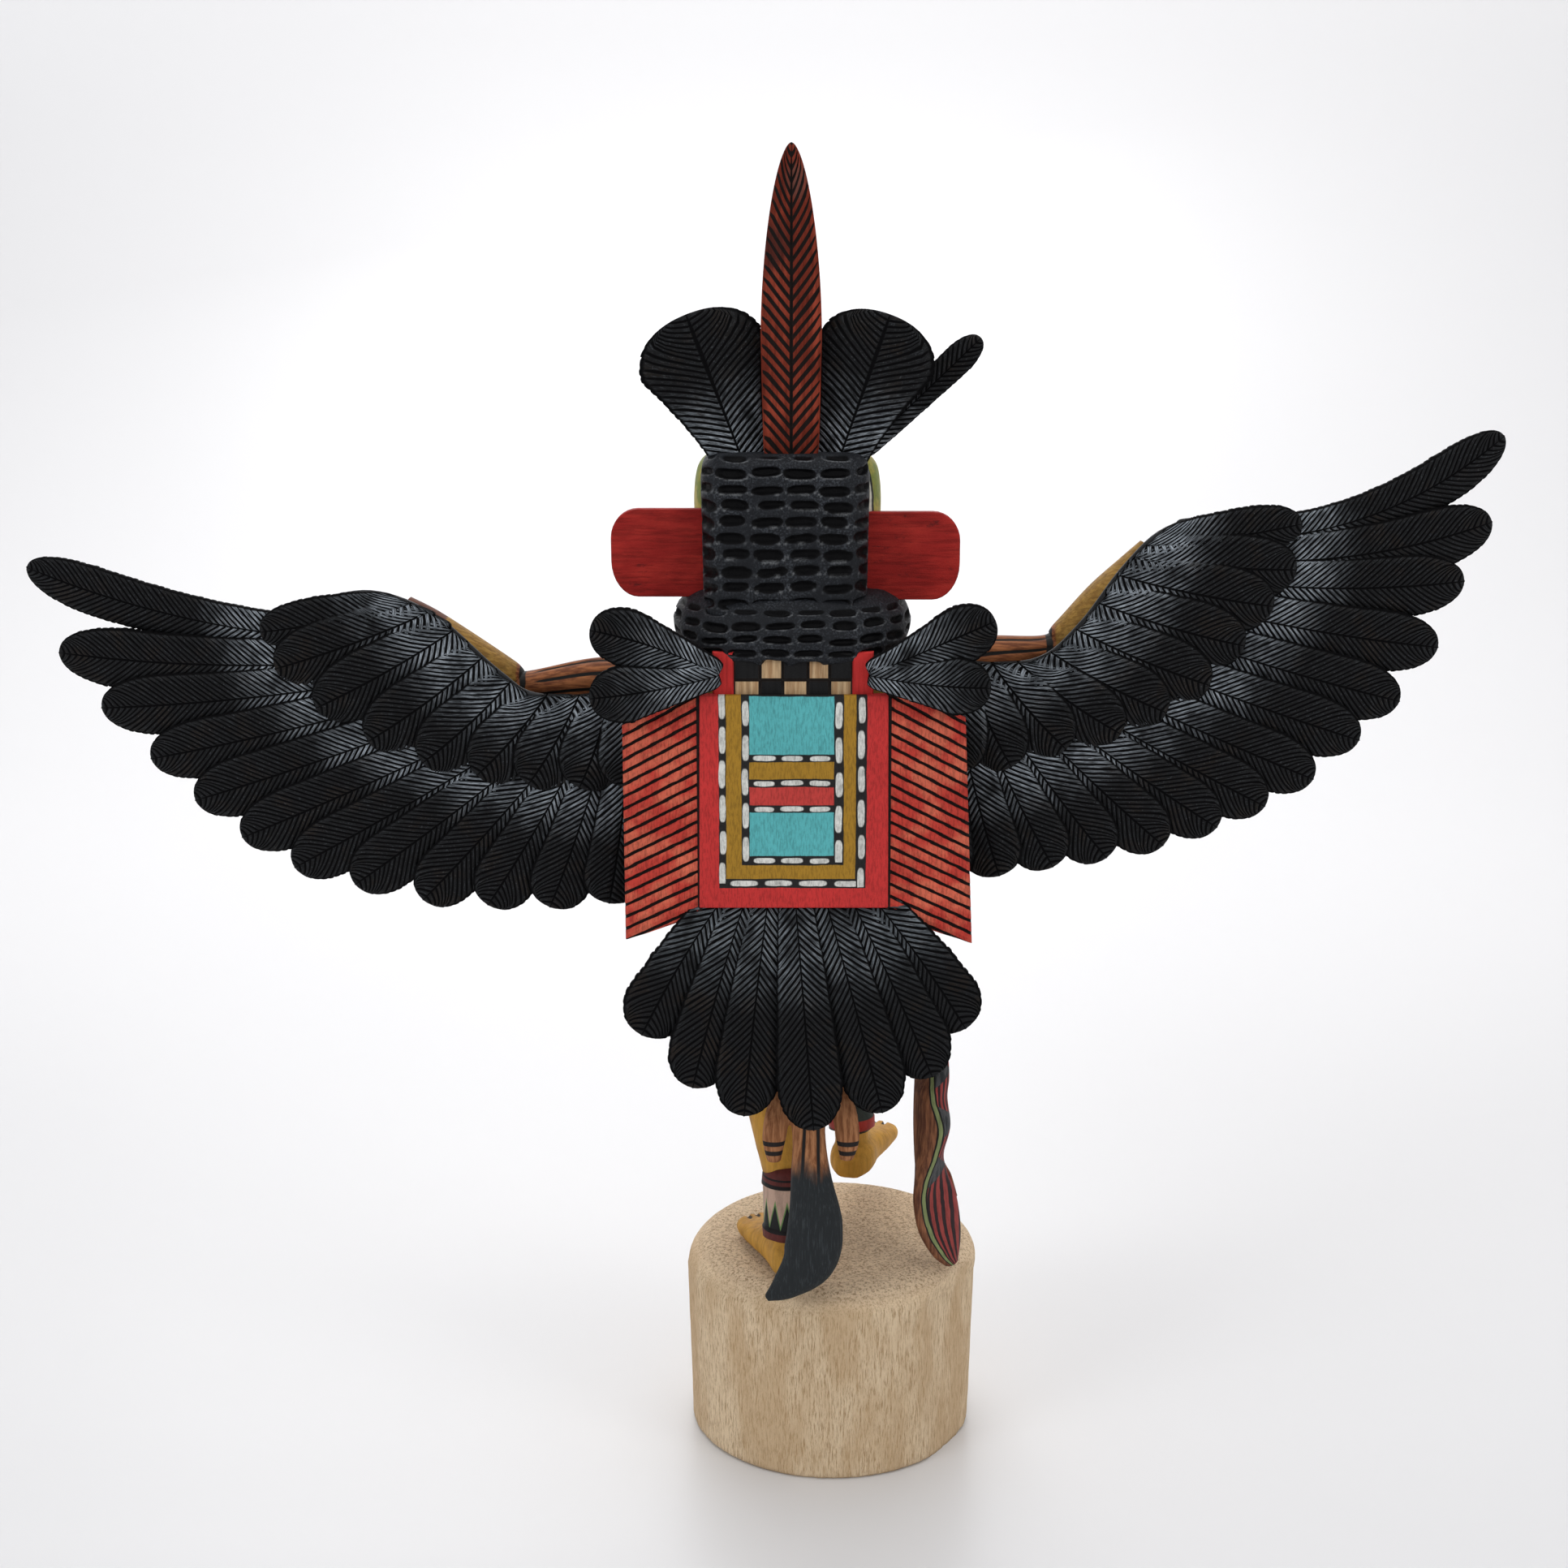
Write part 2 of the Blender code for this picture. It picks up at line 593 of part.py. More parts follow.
right_crest = crest("crest_feather_right", (-14, 277), (-30.5, 324.5), narrower, "paddle", 20, -0.1)
front_crest = crest("crest_feather_front", (-22, 279), (-61, 316.5), 10 * MM, "flight", 4)
left_pair = shoulder_pair("shoulder_feathers_left", 1, (65, 227), (65.5, 205), 3.5)
right_pair = shoulder_pair("shoulder_feathers_right", -1, (64, 230), (63, 208.5), 0.0)

make_room(arm_l, doll, wing_l)
make_room(arm_r, doll, wing_r)
make_room(tablet, doll)
make_room(left_fringe, tablet, wing_l)
make_room(right_fringe, tablet, wing_r)
make_room(fan, doll, tablet, left_fringe, right_fringe)
make_room(pelt, doll, fan)
make_room(hip_sash, doll, fan, right_fringe)
make_room(left_ear, doll)
make_room(right_ear, doll)
make_room(red_feather, doll)
make_room(left_crest, doll, red_feather)
make_room(right_crest, doll, red_feather)
make_room(front_crest, doll, right_crest)
make_room(left_pair, tablet, left_fringe, doll, wing_l)
make_room(right_pair, tablet, right_fringe, doll, wing_r)

black = [wing_l, wing_r, fan, left_crest, right_crest, front_crest, left_pair, right_pair]
red = [left_fringe, right_fringe, left_ear, right_ear, red_feather, tablet]
looks = {
    "bare cottonwood": ((0.62, 0.44, 0.27), [block]),
    "black paint": ((0.012, 0.012, 0.014), black),
    "red paint": ((0.35, 0.03, 0.02), red),
    "ochre paint": ((0.36, 0.2, 0.04), [doll, arm_l, arm_r]),
    "brown paint": ((0.2, 0.08, 0.03), [pelt, hip_sash]),
}
for name, (colour, pieces) in looks.items():
    look = paint(name, colour)
    for piece in pieces:
        piece.data.materials.clear()
        piece.data.materials.append(look)
        piece.data.shade_smooth()
        piece.data.set_sharp_from_angle(angle=math.radians(35))
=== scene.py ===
import math

import bmesh
import bpy
import numpy as np
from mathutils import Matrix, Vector, noise


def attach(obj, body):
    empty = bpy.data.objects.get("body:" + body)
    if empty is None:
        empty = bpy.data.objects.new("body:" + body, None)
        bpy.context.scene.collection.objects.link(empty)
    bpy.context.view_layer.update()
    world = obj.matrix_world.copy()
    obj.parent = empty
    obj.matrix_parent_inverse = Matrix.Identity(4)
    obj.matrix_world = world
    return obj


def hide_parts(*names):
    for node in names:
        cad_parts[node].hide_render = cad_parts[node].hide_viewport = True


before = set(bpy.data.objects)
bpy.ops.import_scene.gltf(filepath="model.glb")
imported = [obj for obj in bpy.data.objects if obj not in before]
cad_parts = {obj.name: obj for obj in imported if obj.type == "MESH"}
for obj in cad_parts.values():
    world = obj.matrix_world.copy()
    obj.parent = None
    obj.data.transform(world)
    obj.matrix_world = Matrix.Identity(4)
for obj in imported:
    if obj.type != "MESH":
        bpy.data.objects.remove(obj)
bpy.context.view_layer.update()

# The studio: a pale seamless sweep under large soft lights, and the camera behind the doll, a little
# above it and looking down on it. None of this belongs to the carving.
def placed(name, data):
    """A new object in the scene."""
    made = bpy.data.objects.new(name, data)
    bpy.context.scene.collection.objects.link(made)
    return made


camera_data = bpy.data.cameras.new("camera")
camera_data.lens = 52.17
camera_data.sensor_width = 36
camera_data.clip_start = 0.05
camera = placed("camera", camera_data)
camera.location = (0.0169, 0.7585, 0.4195)
camera.rotation_euler = (math.radians(76.4), 0, math.radians(180))
bpy.context.scene.camera = camera
bpy.context.scene.view_settings.view_transform = "Standard"

sweep_work = bmesh.new()
sweep_rows = [(3.0, 0.0)]
for i in range(13):
    turn = math.radians(90 * i / 12)
    sweep_rows.append((-0.9 - 0.7 * math.sin(turn), 0.7 - 0.7 * math.cos(turn)))
sweep_rows.append((-1.6, 4.0))
sweep_ends = [[sweep_work.verts.new((x, y, z)) for y, z in sweep_rows] for x in (-12.0, 12.0)]
for i in range(len(sweep_rows) - 1):
    sweep_work.faces.new((sweep_ends[0][i], sweep_ends[1][i], sweep_ends[1][i + 1], sweep_ends[0][i + 1]))
sweep_mesh = bpy.data.meshes.new("studio_sweep")
sweep_work.to_mesh(sweep_mesh)
sweep_work.free()
sweep_mesh.shade_smooth()
sweep = placed("studio_sweep", sweep_mesh)
sweep_paper = bpy.data.materials.new("studio paper")
sweep_paper.use_nodes = True
sweep_shader = sweep_paper.node_tree.nodes["Principled BSDF"]
sweep_shader.inputs["Base Color"].default_value = (0.735, 0.735, 0.74, 1)
sweep_shader.inputs["Roughness"].default_value = 0.35
sweep_mesh.materials.append(sweep_paper)

world = bpy.data.worlds.new("studio air")
world.use_nodes = True
world.node_tree.nodes["Background"].inputs["Color"].default_value = (0.96, 0.965, 1.0, 1)
world.node_tree.nodes["Background"].inputs["Strength"].default_value = 0.55
bpy.context.scene.world = world


def soft_light(name, place, aim, size, power, colour):
    lamp = bpy.data.lights.new(name, "AREA")
    lamp.shape = "SQUARE"
    lamp.size = size
    lamp.energy = power
    lamp.color = colour
    made = placed(name, lamp)
    made.location = place
    made.rotation_euler = (Vector(aim) - Vector(place)).to_track_quat("-Z", "Y").to_euler()


soft_light("overhead_softbox", (0.1, 0.3, 2.9), (0, 0, 0.2), 2.0, 22, (1.0, 0.985, 0.96))
soft_light("left_softbox", (2.2, 1.8, 1.35), (0, 0, 0.2), 1.0, 16, (0.95, 0.975, 1.0))
soft_light("right_softbox", (-2.2, 1.7, 1.2), (0, 0, 0.2), 1.0, 13, (1.0, 0.98, 0.95))
soft_light("backdrop_light", (0.0, -0.8, 1.6), (0, -1.6, 0.6), 1.2, 12, (1.0, 0.985, 0.99))
soft_light("front_fill", (0.2, -1.2, 1.0), (0, 0, 0.25), 0.9, 3.4, (1.0, 1.0, 1.0))

# The base: a sawn round of raw cottonwood root, rasped and sanded to a soft rim, with one flat
# pared down its side. Its side shows upright fibres, and its top the furry end grain.
MM = 0.001
BASE_HALF = 50
BASE_HIGH = 70
BASE_RIM = 9
BASE_LEAN = -2
FLAT_TURN = math.radians(147)
FLAT_DEPTH = 48.25
BASE_COUNT = 480


def mesh_piece(name, points, faces, smooth=True):
    """A finished piece from points in metres."""
    mesh = bpy.data.meshes.new(name)
    mesh.from_pydata(points, [], faces)
    work = bmesh.new()
    work.from_mesh(mesh)
    if work.calc_volume(signed=True) < 0:
        bmesh.ops.reverse_faces(work, faces=work.faces)
    work.to_mesh(mesh)
    work.free()
    if smooth:
        mesh.shade_smooth()
    return placed(name, mesh)


def skin(rows, closed=True):
    """Faces through rows of the same count, looped round and capped unless open."""
    count = len(rows[0])
    points = [tuple(p) for row in rows for p in row]
    faces = []
    for r in range(len(rows) - 1):
        for i in range(count if closed else count - 1):
            j = (i + 1) % count
            faces.append((r * count + i, r * count + j, (r + 1) * count + j, (r + 1) * count + i))
    if closed:
        faces.append(tuple(reversed(range(count))))
        faces.append(tuple(range((len(rows) - 1) * count, len(rows) * count)))
    return points, faces


base_profile = [(0.5, 0), (20, 0), (42, 0), (BASE_HALF - 1.2, 0), (BASE_HALF, 1.2)]
base_high_half = BASE_HALF * 1.03
side_top = BASE_HIGH - BASE_RIM * 1.2
for i in range(1, 41):
    share = i / 40
    base_profile.append((BASE_HALF + (base_high_half - BASE_HALF) * share, 1.2 + (side_top - 1.2) * share))
for i in range(1, 17):
    turn = math.radians(90 * i / 16)
    reach = base_high_half - BASE_RIM + BASE_RIM * math.cos(turn)
    base_profile.append((reach, BASE_HIGH - BASE_RIM + BASE_RIM * math.sin(turn)))
for i in range(1, 42):
    base_profile.append(((base_high_half - BASE_RIM) * (1 - i / 41.2), BASE_HIGH))
base_rows = []
for reach, high in base_profile:
    lean = BASE_LEAN * min(max((high - side_top) / (BASE_HIGH - side_top), 0), 1)
    row = []
    for i in range(BASE_COUNT):
        turn = 2 * math.pi * i / BASE_COUNT
        facing = math.cos(turn - FLAT_TURN)
        r = reach
        if facing > 0.5 and reach > FLAT_DEPTH / facing:
            r = FLAT_DEPTH / facing
        c, s = math.cos(turn), math.sin(turn)
        side = min(max((r - 40) / 6, 0), 1)
        fibre = noise.noise(Vector((c * 60, s * 60, high * 0.09))) * 0.16
        fibre += noise.noise(Vector((c * 17, s * 17, high * 0.03))) * 0.22
        fuzz = noise.noise(Vector((r * c * 0.9, r * s * 0.9, 3))) * 0.14
        swell = noise.noise(Vector((r * c * 0.07, r * s * 0.07, 9))) * 0.5
        top = 0.0 if high < 1 else min(max((high - side_top) / 8, 0), 1)
        r += side * (1 - 0.7 * top) * fibre
        lift = top * (fuzz + swell * (1 - side)) - 0.35 * top
        row.append(((r * c + lean) * MM, r * s * MM, (high + lift) * MM))
    base_rows.append(row)
base_block = mesh_piece("base_block", *skin(base_rows))


class Measure:
    """A number, place or colour in a node tree, so that a rule reads as a plain formula."""

    def __init__(self, tree, socket):
        self.tree = tree
        self.socket = socket

    def work(self, operation, *others, kind="ShaderNodeMath", output=0):
        return add(self.tree, kind, dict(enumerate((self, *others))), output, operation=operation)

    def __add__(self, other):
        return self.work("ADD", other)

    def __sub__(self, other):
        return self.work("SUBTRACT", other)

    def __mul__(self, other):
        return self.work("MULTIPLY", other)

    def __truediv__(self, other):
        return self.work("DIVIDE", other)

    def __rsub__(self, other):
        return self * -1.0 + other

    def __rtruediv__(self, other):
        return add(self.tree, "ShaderNodeMath", {0: other, 1: self}, operation="DIVIDE")

    __radd__ = __add__
    __rmul__ = __mul__

    def power(self, other):
        return self.work("POWER", other)

    def at_least(self, other):
        return self.work("MAXIMUM", other)

    def at_most(self, other):
        return self.work("MINIMUM", other)

    def over(self, other):
        return self.work("GREATER_THAN", other)

    def whole(self):
        return self.work("FLOOR")

    def size(self):
        return self.work("ABSOLUTE")

    def ramp(self, low, high):
        """0 below low, 1 above high, smooth between."""
        inputs = {0: self, 1: low, 2: high, 3: 0.0, 4: 1.0}
        return add(self.tree, "ShaderNodeMapRange", inputs, interpolation_type="SMOOTHSTEP")

    def below(self, low, high):
        """1 below low, 0 above high, smooth between."""
        return 1.0 - self.ramp(low, high)

    def near(self, low, high):
        """1 within low of zero, 0 beyond high, smooth between."""
        return self.size().below(low, high)

    def parts(self):
        node = self.tree.nodes.new("ShaderNodeSeparateXYZ")
        self.tree.links.new(self.socket, node.inputs[0])
        return [Measure(self.tree, node.outputs[i]) for i in range(3)]

    def times(self, other):
        """A place stretched by another place."""
        return self.work("MULTIPLY", other, kind="ShaderNodeVectorMath")

    def grown(self, by):
        """A place, all three parts multiplied by a number."""
        node = self.tree.nodes.new("ShaderNodeVectorMath")
        node.operation = "SCALE"
        self.tree.links.new(self.socket, node.inputs[0])
        feed(self.tree, node.inputs[3], by)
        return Measure(self.tree, node.outputs[0])

    def moved(self, other):
        return self.work("ADD", other, kind="ShaderNodeVectorMath")


def feed(tree, socket, value):
    if isinstance(value, Measure):
        tree.links.new(value.socket, socket)
    else:
        socket.default_value = value


def add(tree, kind, inputs, output=0, **settings):
    """One node with its settings and inputs, given back as one of its outputs."""
    node = tree.nodes.new(kind)
    for name, value in settings.items():
        setattr(node, name, value)
    for name, value in inputs.items():
        feed(tree, node.inputs[name], value)
    return Measure(tree, node.outputs[output])


def place_of(tree, x, y, z):
    return add(tree, "ShaderNodeCombineXYZ", {0: x, 1: y, 2: z})


def mixed(mask, under, over):
    """Paint over paint, where the mask is 1."""
    inputs = {0: mask, 6: under, 7: over}
    return add(mask.tree, "ShaderNodeMix", inputs, 2, data_type="RGBA", clamp_factor=True)


def coated(colour, *coats):
    """Coats of paint over a colour, each a mask and its own colour."""
    for mask, over in coats:
        colour = mixed(mask, colour, over)
    return colour


def noise_at(place, scale, detail=3.0, rough=0.55):
    inputs = {"Vector": place, "Scale": scale, "Detail": detail, "Roughness": rough}
    return add(place.tree, "ShaderNodeTexNoise", inputs)


def paint_group():
    """Paint or bare wood along a grain: mottled, with darker fibres and a fine height."""
    group = bpy.data.node_groups.new("Brushed wood", "ShaderNodeTree")
    for label, kind, value in (
        ("Place", "NodeSocketVector", None),
        ("Colour", "NodeSocketColor", (0.5, 0.5, 0.5, 1)),
        ("Grain", "NodeSocketVector", (900, 900, 60)),
        ("Fibre", "NodeSocketFloat", 0.25),
        ("Mottle", "NodeSocketFloat", 0.2),
    ):
        socket = group.interface.new_socket(label, in_out="INPUT", socket_type=kind)
        if value is not None:
            socket.default_value = value
    group.interface.new_socket("Colour", in_out="OUTPUT", socket_type="NodeSocketColor")
    group.interface.new_socket("Height", in_out="OUTPUT", socket_type="NodeSocketFloat")
    given = group.nodes.new("NodeGroupInput")
    place, colour, grain, fibre, mottle = (Measure(group, given.outputs[i]) for i in range(5))
    strands = noise_at(place.times(grain), 1.0, 4.0, 0.62)
    patches = noise_at(place, 85.0, 3.0)
    specks = noise_at(place, 2600.0, 2.0)
    dark = strands.below(0.34, 0.58)
    shade = (patches - 0.5) * mottle * 2.0 + 1.0 - dark * fibre
    shade = shade + (specks - 0.5) * fibre * 0.6
    given_back = group.nodes.new("NodeGroupOutput")
    feed(group, given_back.inputs["Colour"], colour.grown(shade))
    feed(group, given_back.inputs["Height"], strands + specks * 0.4)
    return group


BRUSHED = paint_group()


def start_finish(name, roughness, specular=0.4):
    """A new finish, its tree, and the place on the piece in metres."""
    finish = bpy.data.materials.new(name)
    finish.use_nodes = True
    tree = finish.node_tree
    shader = tree.nodes["Principled BSDF"]
    shader.inputs["Roughness"].default_value = roughness
    shader.inputs["Specular IOR Level"].default_value = specular
    return finish, tree, add(tree, "ShaderNodeTexCoord", {}, "Object")


def end_finish(tree, colour, height, depth=0.0002, roughness=None):
    shader = tree.nodes["Principled BSDF"]
    feed(tree, shader.inputs["Base Color"], colour)
    if roughness is not None:
        feed(tree, shader.inputs["Roughness"], roughness)
    bump = add(tree, "ShaderNodeBump", {"Height": height, "Distance": depth, "Strength": 1.0})
    feed(tree, shader.inputs["Normal"], bump)


def end_brushed(tree, place, colour, grain, fibre, mottle, depth):
    """Ends a finish with the brushed wood effect laid on its colour."""
    inputs = {"Place": place, "Colour": colour, "Grain": grain, "Fibre": fibre, "Mottle": mottle}
    effect = add(tree, "ShaderNodeGroup", inputs, "Colour", node_tree=BRUSHED)
    end_finish(tree, effect, Measure(tree, effect.socket.node.outputs["Height"]), depth)


cottonwood, tree, place = start_finish("raw cottonwood", 0.85, 0.25)
x, y, z = place.parts()
radius = add(tree, "ShaderNodeVectorMath", {0: place_of(tree, x + 0.002, y, 0.0)}, 1, operation="LENGTH")
top = z.ramp(0.062, 0.0695)
upright = noise_at(place.times((1.0, 1.0, 0.1)), 1700.0, 5.0, 0.74)
broad = noise_at(place.times((1.0, 1.0, 0.3)), 70.0, 3.0)
fur = noise_at(place, 1000.0, 5.0, 0.8)
rings = noise_at(place_of(tree, radius * 380.0, 0.0, 0.0), 1.0, 2.0)
hairs = noise_at(place.times((1.0, 1.0, 0.07)), 3800.0, 3.0, 0.7)
fibres = (upright * 0.6 + hairs * 0.4).ramp(0.38, 0.54)
side_wood = mixed(fibres, (0.46, 0.295, 0.155, 1), (0.88, 0.69, 0.46, 1))
side_wood = mixed(broad.ramp(0.4, 0.62) * 0.5, side_wood, (0.56, 0.36, 0.18, 1))
top_wood = mixed(fur.ramp(0.38, 0.54), (0.42, 0.265, 0.145, 1), (0.88, 0.69, 0.47, 1))
top_wood = mixed(rings.ramp(0.45, 0.7) * 0.3, top_wood, (0.50, 0.335, 0.20, 1))
end_finish(tree, mixed(top, side_wood, top_wood), (upright + hairs) * (1.0 - top) * 0.6 + fur * top, 0.0008)
base_block.data.materials.append(cottonwood)
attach(base_block, "root")
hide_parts("base")

# The figure: one carving from a single cottonwood root, whittled round, sanded and painted in flat
# earth colours. It stands on its left foot, and its right leg is lifted in front, knee bent.
AXIS_X = 13.7
FEET = 70.3


def span(p1, p2, a, b, f):
    """The smooth way from p1 to p2, leaving along a and arriving along b."""
    start = p1 * (2 * f**3 - 3 * f**2 + 1) + p2 * (3 * f**2 - 2 * f**3)
    return start + a * (f**3 - 2 * f**2 + f) + b * (f**3 - f**2)


def curve_any(points, t):
    """A smooth curve through a few rows of numbers, from t = 0 to 1."""
    spans = len(points) - 1
    i = min(int(t * spans), spans - 1)
    f = t * spans - i
    p = [np.array(points[min(max(k, 0), spans)], float) for k in (i - 1, i, i + 1, i + 2)]
    return span(p[1], p[2], (p[2] - p[0]) * 0.5, (p[3] - p[1]) * 0.5, f)


def smooth_stations(stations, count):
    return [tuple(curve_any(stations, i / (count - 1))) for i in range(count)]


def on_doll(x, y, z):
    """Metres in the scene, from millimetres off the doll's axis and above its feet."""
    return ((x + AXIS_X) * MM, y * MM, (z + FEET) * MM)


def limb_rows(stations, count, width_axis=(1, 0, 0)):
    """Rings round a path of x, y, z, half width and half depth."""
    spots = [Vector(s[:3]) for s in stations]
    rows = []
    for i, station in enumerate(stations):
        along = (spots[min(i + 1, len(spots) - 1)] - spots[max(i - 1, 0)]).normalized()
        side = Vector(width_axis)
        side = (side - along * side.dot(along)).normalized()
        depth = side.cross(along)
        row = []
        for k in range(count):
            turn = 2 * math.pi * (k + 0.5) / count
            p = spots[i] + side * math.cos(turn) * station[3] + depth * math.sin(turn) * station[4]
            row.append(on_doll(p.x, p.y, p.z))
        rows.append(row)
    return rows


def level_rows(stations, count):
    """Level rings from rows of x, y, z, half width, half depth and how square they are."""
    rows = []
    for x, y, z, half_x, half_y, power in stations:
        row = []
        for i in range(count):
            turn = 2 * math.pi * i / count
            c, s = math.cos(turn), math.sin(turn)
            px = math.copysign(abs(c) ** (2 / power), c) * half_x
            py = math.copysign(abs(s) ** (2 / power), s) * half_y
            row.append(on_doll(x + px, y + py, z))
        rows.append(row)
    return rows


def limb(stations, rings, count):
    return skin(limb_rows(smooth_stations(stations, rings), count))


def turned(stations, rings, count):
    return skin(level_rows(smooth_stations(stations, rings), count))


def foot_rows(heel, toes, sole, ankle_high):
    """Rings along a bare foot from its heel to its toes, flat underneath."""
    heel, toes = Vector(heel), Vector(toes)
    side = Vector((-(toes - heel).y, (toes - heel).x)).normalized()
    stations = [
        (0.0, 4.5, 7), (0.12, 8, ankle_high), (0.34, 8, ankle_high), (0.6, 9.5, 10),
        (0.85, 10.5, 7), (0.96, 9.6, 6.2), (1.0, 8, 5),
    ]
    rows = []
    for share, half, high in smooth_stations(stations, 26):
        spot = heel.lerp(toes, share)
        row = []
        for i in range(28):
            turn = 2 * math.pi * i / 28
            c, s = math.cos(turn), math.sin(turn)
            reach = math.copysign(abs(c) ** 0.72, c) * half * (1 - 0.22 * max(s, 0))
            up = (0.5 + 0.5 * math.copysign(abs(s) ** 0.55, s)) * high
            row.append(on_doll(spot.x + side.x * reach, spot.y + side.y * reach, sole + up))
        rows.append(row)
    return rows


def plain_mesh(piece):
    """Turns a piece's modifiers into its own mesh."""
    graph = bpy.context.evaluated_depsgraph_get()
    graph.update()
    mesh = bpy.data.meshes.new_from_object(piece.evaluated_get(graph))
    mesh.name = piece.name
    piece.modifiers.clear()
    piece.data = mesh


def push_skin(piece, push):
    """Moves each point of a piece along its normal, by millimetres found from its place."""
    normals = [v.normal.copy() for v in piece.data.vertices]
    places = []
    for v, normal in zip(piece.data.vertices, normals):
        places += list(v.co + normal * push(v.co) * MM)
    piece.data.vertices.foreach_set("co", places)
    piece.data.update()


def carve_whole(name, lumps, voxel, wobble):
    """Overlapping forms carved as one skin, with the faint facets that a knife leaves."""
    points, faces = [], []
    for lump_points, lump_faces in lumps:
        first = len(points)
        points += lump_points
        faces += [tuple(first + i for i in face) for face in lump_faces]
    mesh = bpy.data.meshes.new(name)
    mesh.from_pydata(points, [], faces)
    work = bmesh.new()
    work.from_mesh(mesh)
    bmesh.ops.recalc_face_normals(work, faces=work.faces)
    work.to_mesh(mesh)
    work.free()
    piece = placed(name, mesh)
    skinned = piece.modifiers.new("One skin", "REMESH")
    skinned.mode = "VOXEL"
    skinned.voxel_size = voxel * MM
    sanded = piece.modifiers.new("Sanded", "SMOOTH")
    sanded.iterations = 5
    sanded.factor = 0.5
    plain_mesh(piece)
    push_skin(piece, lambda at: wobble * (noise.noise(at * 110) + 0.5 * noise.noise(at * 260)))
    piece.data.shade_smooth()
    return piece


def leave(mesh, label, values):
    """Leaves a number, or a row of three, on every point of a mesh."""
    kind, field = "FLOAT", "value"
    if isinstance(values[0], tuple):
        kind, field = "FLOAT_VECTOR", "vector"
        values = [float(part) for row in values for part in row]
    mesh.attributes.new(label, kind, "POINT").data.foreach_set(field, values)


def put_on(piece, finish):
    """Gives a piece its finish and its place on the doll."""
    piece.data.materials.clear()
    piece.data.materials.append(finish)
    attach(piece, "root")


standing_leg = [
    (11, 14, 100, 12, 12), (10.5, 9, 78, 10.5, 10.5), (7.5, 17, 62, 10, 10.5),
    (4.8, 25, 46, 8.5, 9), (2.8, 30, 30, 6.5, 7), (2, 32, 14, 6.3, 6.8), (2, 32, 5, 6, 6.5),
]
raised_leg = [
    (-14, 6, 100, 13, 13), (-17, -22, 90, 12, 12), (-18, -34, 80, 10.5, 10.5),
    (-19, -32, 66, 10, 10), (-20, -25, 50, 8, 8.5), (-21, -19, 37, 6.5, 7), (-22, -18, 24, 6, 6.5),
]
STANDING_FOOT = ((-2, 43), (11.5, -3), 0.4, 13)
RAISED_FOOT = ((-20, -7), (-31, -50), 17, 12)
legs = carve_whole("figure_legs", [
    limb(standing_leg, 60, 36),
    limb(raised_leg, 60, 36),
    skin(foot_rows(*STANDING_FOOT)),
    skin(foot_rows(*RAISED_FOOT)),
], 0.75, 0.22)


def toe_cuts(at):
    """Short knife cuts that part the toes."""
    x, y, z = at.x / MM - AXIS_X, at.y / MM, at.z / MM - FEET
    deepest = 0.0
    for heel, toes, sole, high in (STANDING_FOOT, RAISED_FOOT):
        line = Vector(toes) - Vector(heel)
        length = line.length
        line.normalize()
        reach = Vector((x, y)) - Vector(heel)
        along = reach.dot(line)
        across = reach.dot(Vector((-line.y, line.x)))
        if -2 < z - sole < 12 and length - 7 < along < length + 3 and abs(across) < 12:
            for cut in (-4.6, -1.2, 2.2, 5.4):
                deep = max(0.0, 1 - abs(across - cut) / 0.9) * min(1.0, (along - length + 7) / 3)
                deepest = min(deepest, -1.3 * deep)
    return deepest


toes = [-toe_cuts(v.co) / 1.3 for v in legs.data.vertices]
push_skin(legs, toe_cuts)
leave(legs.data, "cut", toes)
body_stations = [
    (0, 16, 140, 25, 19, 2), (0, 17, 160, 23, 18, 2), (0, 17, 182, 28, 20, 2.2),
    (0, 16, 199, 32, 19, 2.2), (0, 13, 209, 28, 16, 2), (1, 9, 224, 15, 13, 2),
]
body = carve_whole("figure_body", [turned(body_stations, 60, 96)], 1.0, 0.3)


def read(tree, label):
    """A number that the carving has left on its points."""
    return add(tree, "ShaderNodeAttribute", {}, "Fac", attribute_name=label)


def off_axis(place):
    """Millimetres off the doll's axis and above its feet, from metres in the scene."""
    x, y, z = place.grown(1000.0).parts()
    return x - AXIS_X, y, z - FEET


skin_paint, tree, place = start_finish("ochre body paint", 0.55, 0.15)
x, y, z = off_axis(place)
worn = noise_at(place, 160.0, 4.0, 0.6)
ochre = mixed(worn.ramp(0.4, 0.7) * 0.6, (0.56, 0.29, 0.048, 1), (0.40, 0.185, 0.028, 1))
chest = mixed(z.ramp(150.0, 153.0), ochre, (0.40, 0.215, 0.035, 1))
chest = mixed(read(tree, "cut").ramp(0.08, 0.32), chest, (0.02, 0.014, 0.01, 1))
ankle_shade = z.below(-3.0, 12.0)
chest = mixed(ankle_shade * worn.ramp(0.3, 0.6) * 0.35, chest, (0.21, 0.1, 0.02, 1))
end_brushed(tree, place, chest, (500, 500, 60), 0.22, 0.15, 0.00022)
for piece in (legs, body):
    put_on(piece, skin_paint)
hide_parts("figure")

# The kilt and its belt: carved with the body, then painted as white cotton with dark borders
# stitched down its edges. The kilt flares on the side of the raised thigh.
kilt_stations = [
    (-3, 8, 84, 37.4, 26.6, 2.4), (-3, 8, 84.6, 39, 28, 2.4), (-3.5, 9, 95, 40, 28, 2.4),
    (-5, 12, 124, 38.5, 24.5, 2.4), (0, 16, 147, 26, 20.5, 2.4),
]
kilt = mesh_piece("figure_kilt", *turned(kilt_stations, 70, 180))


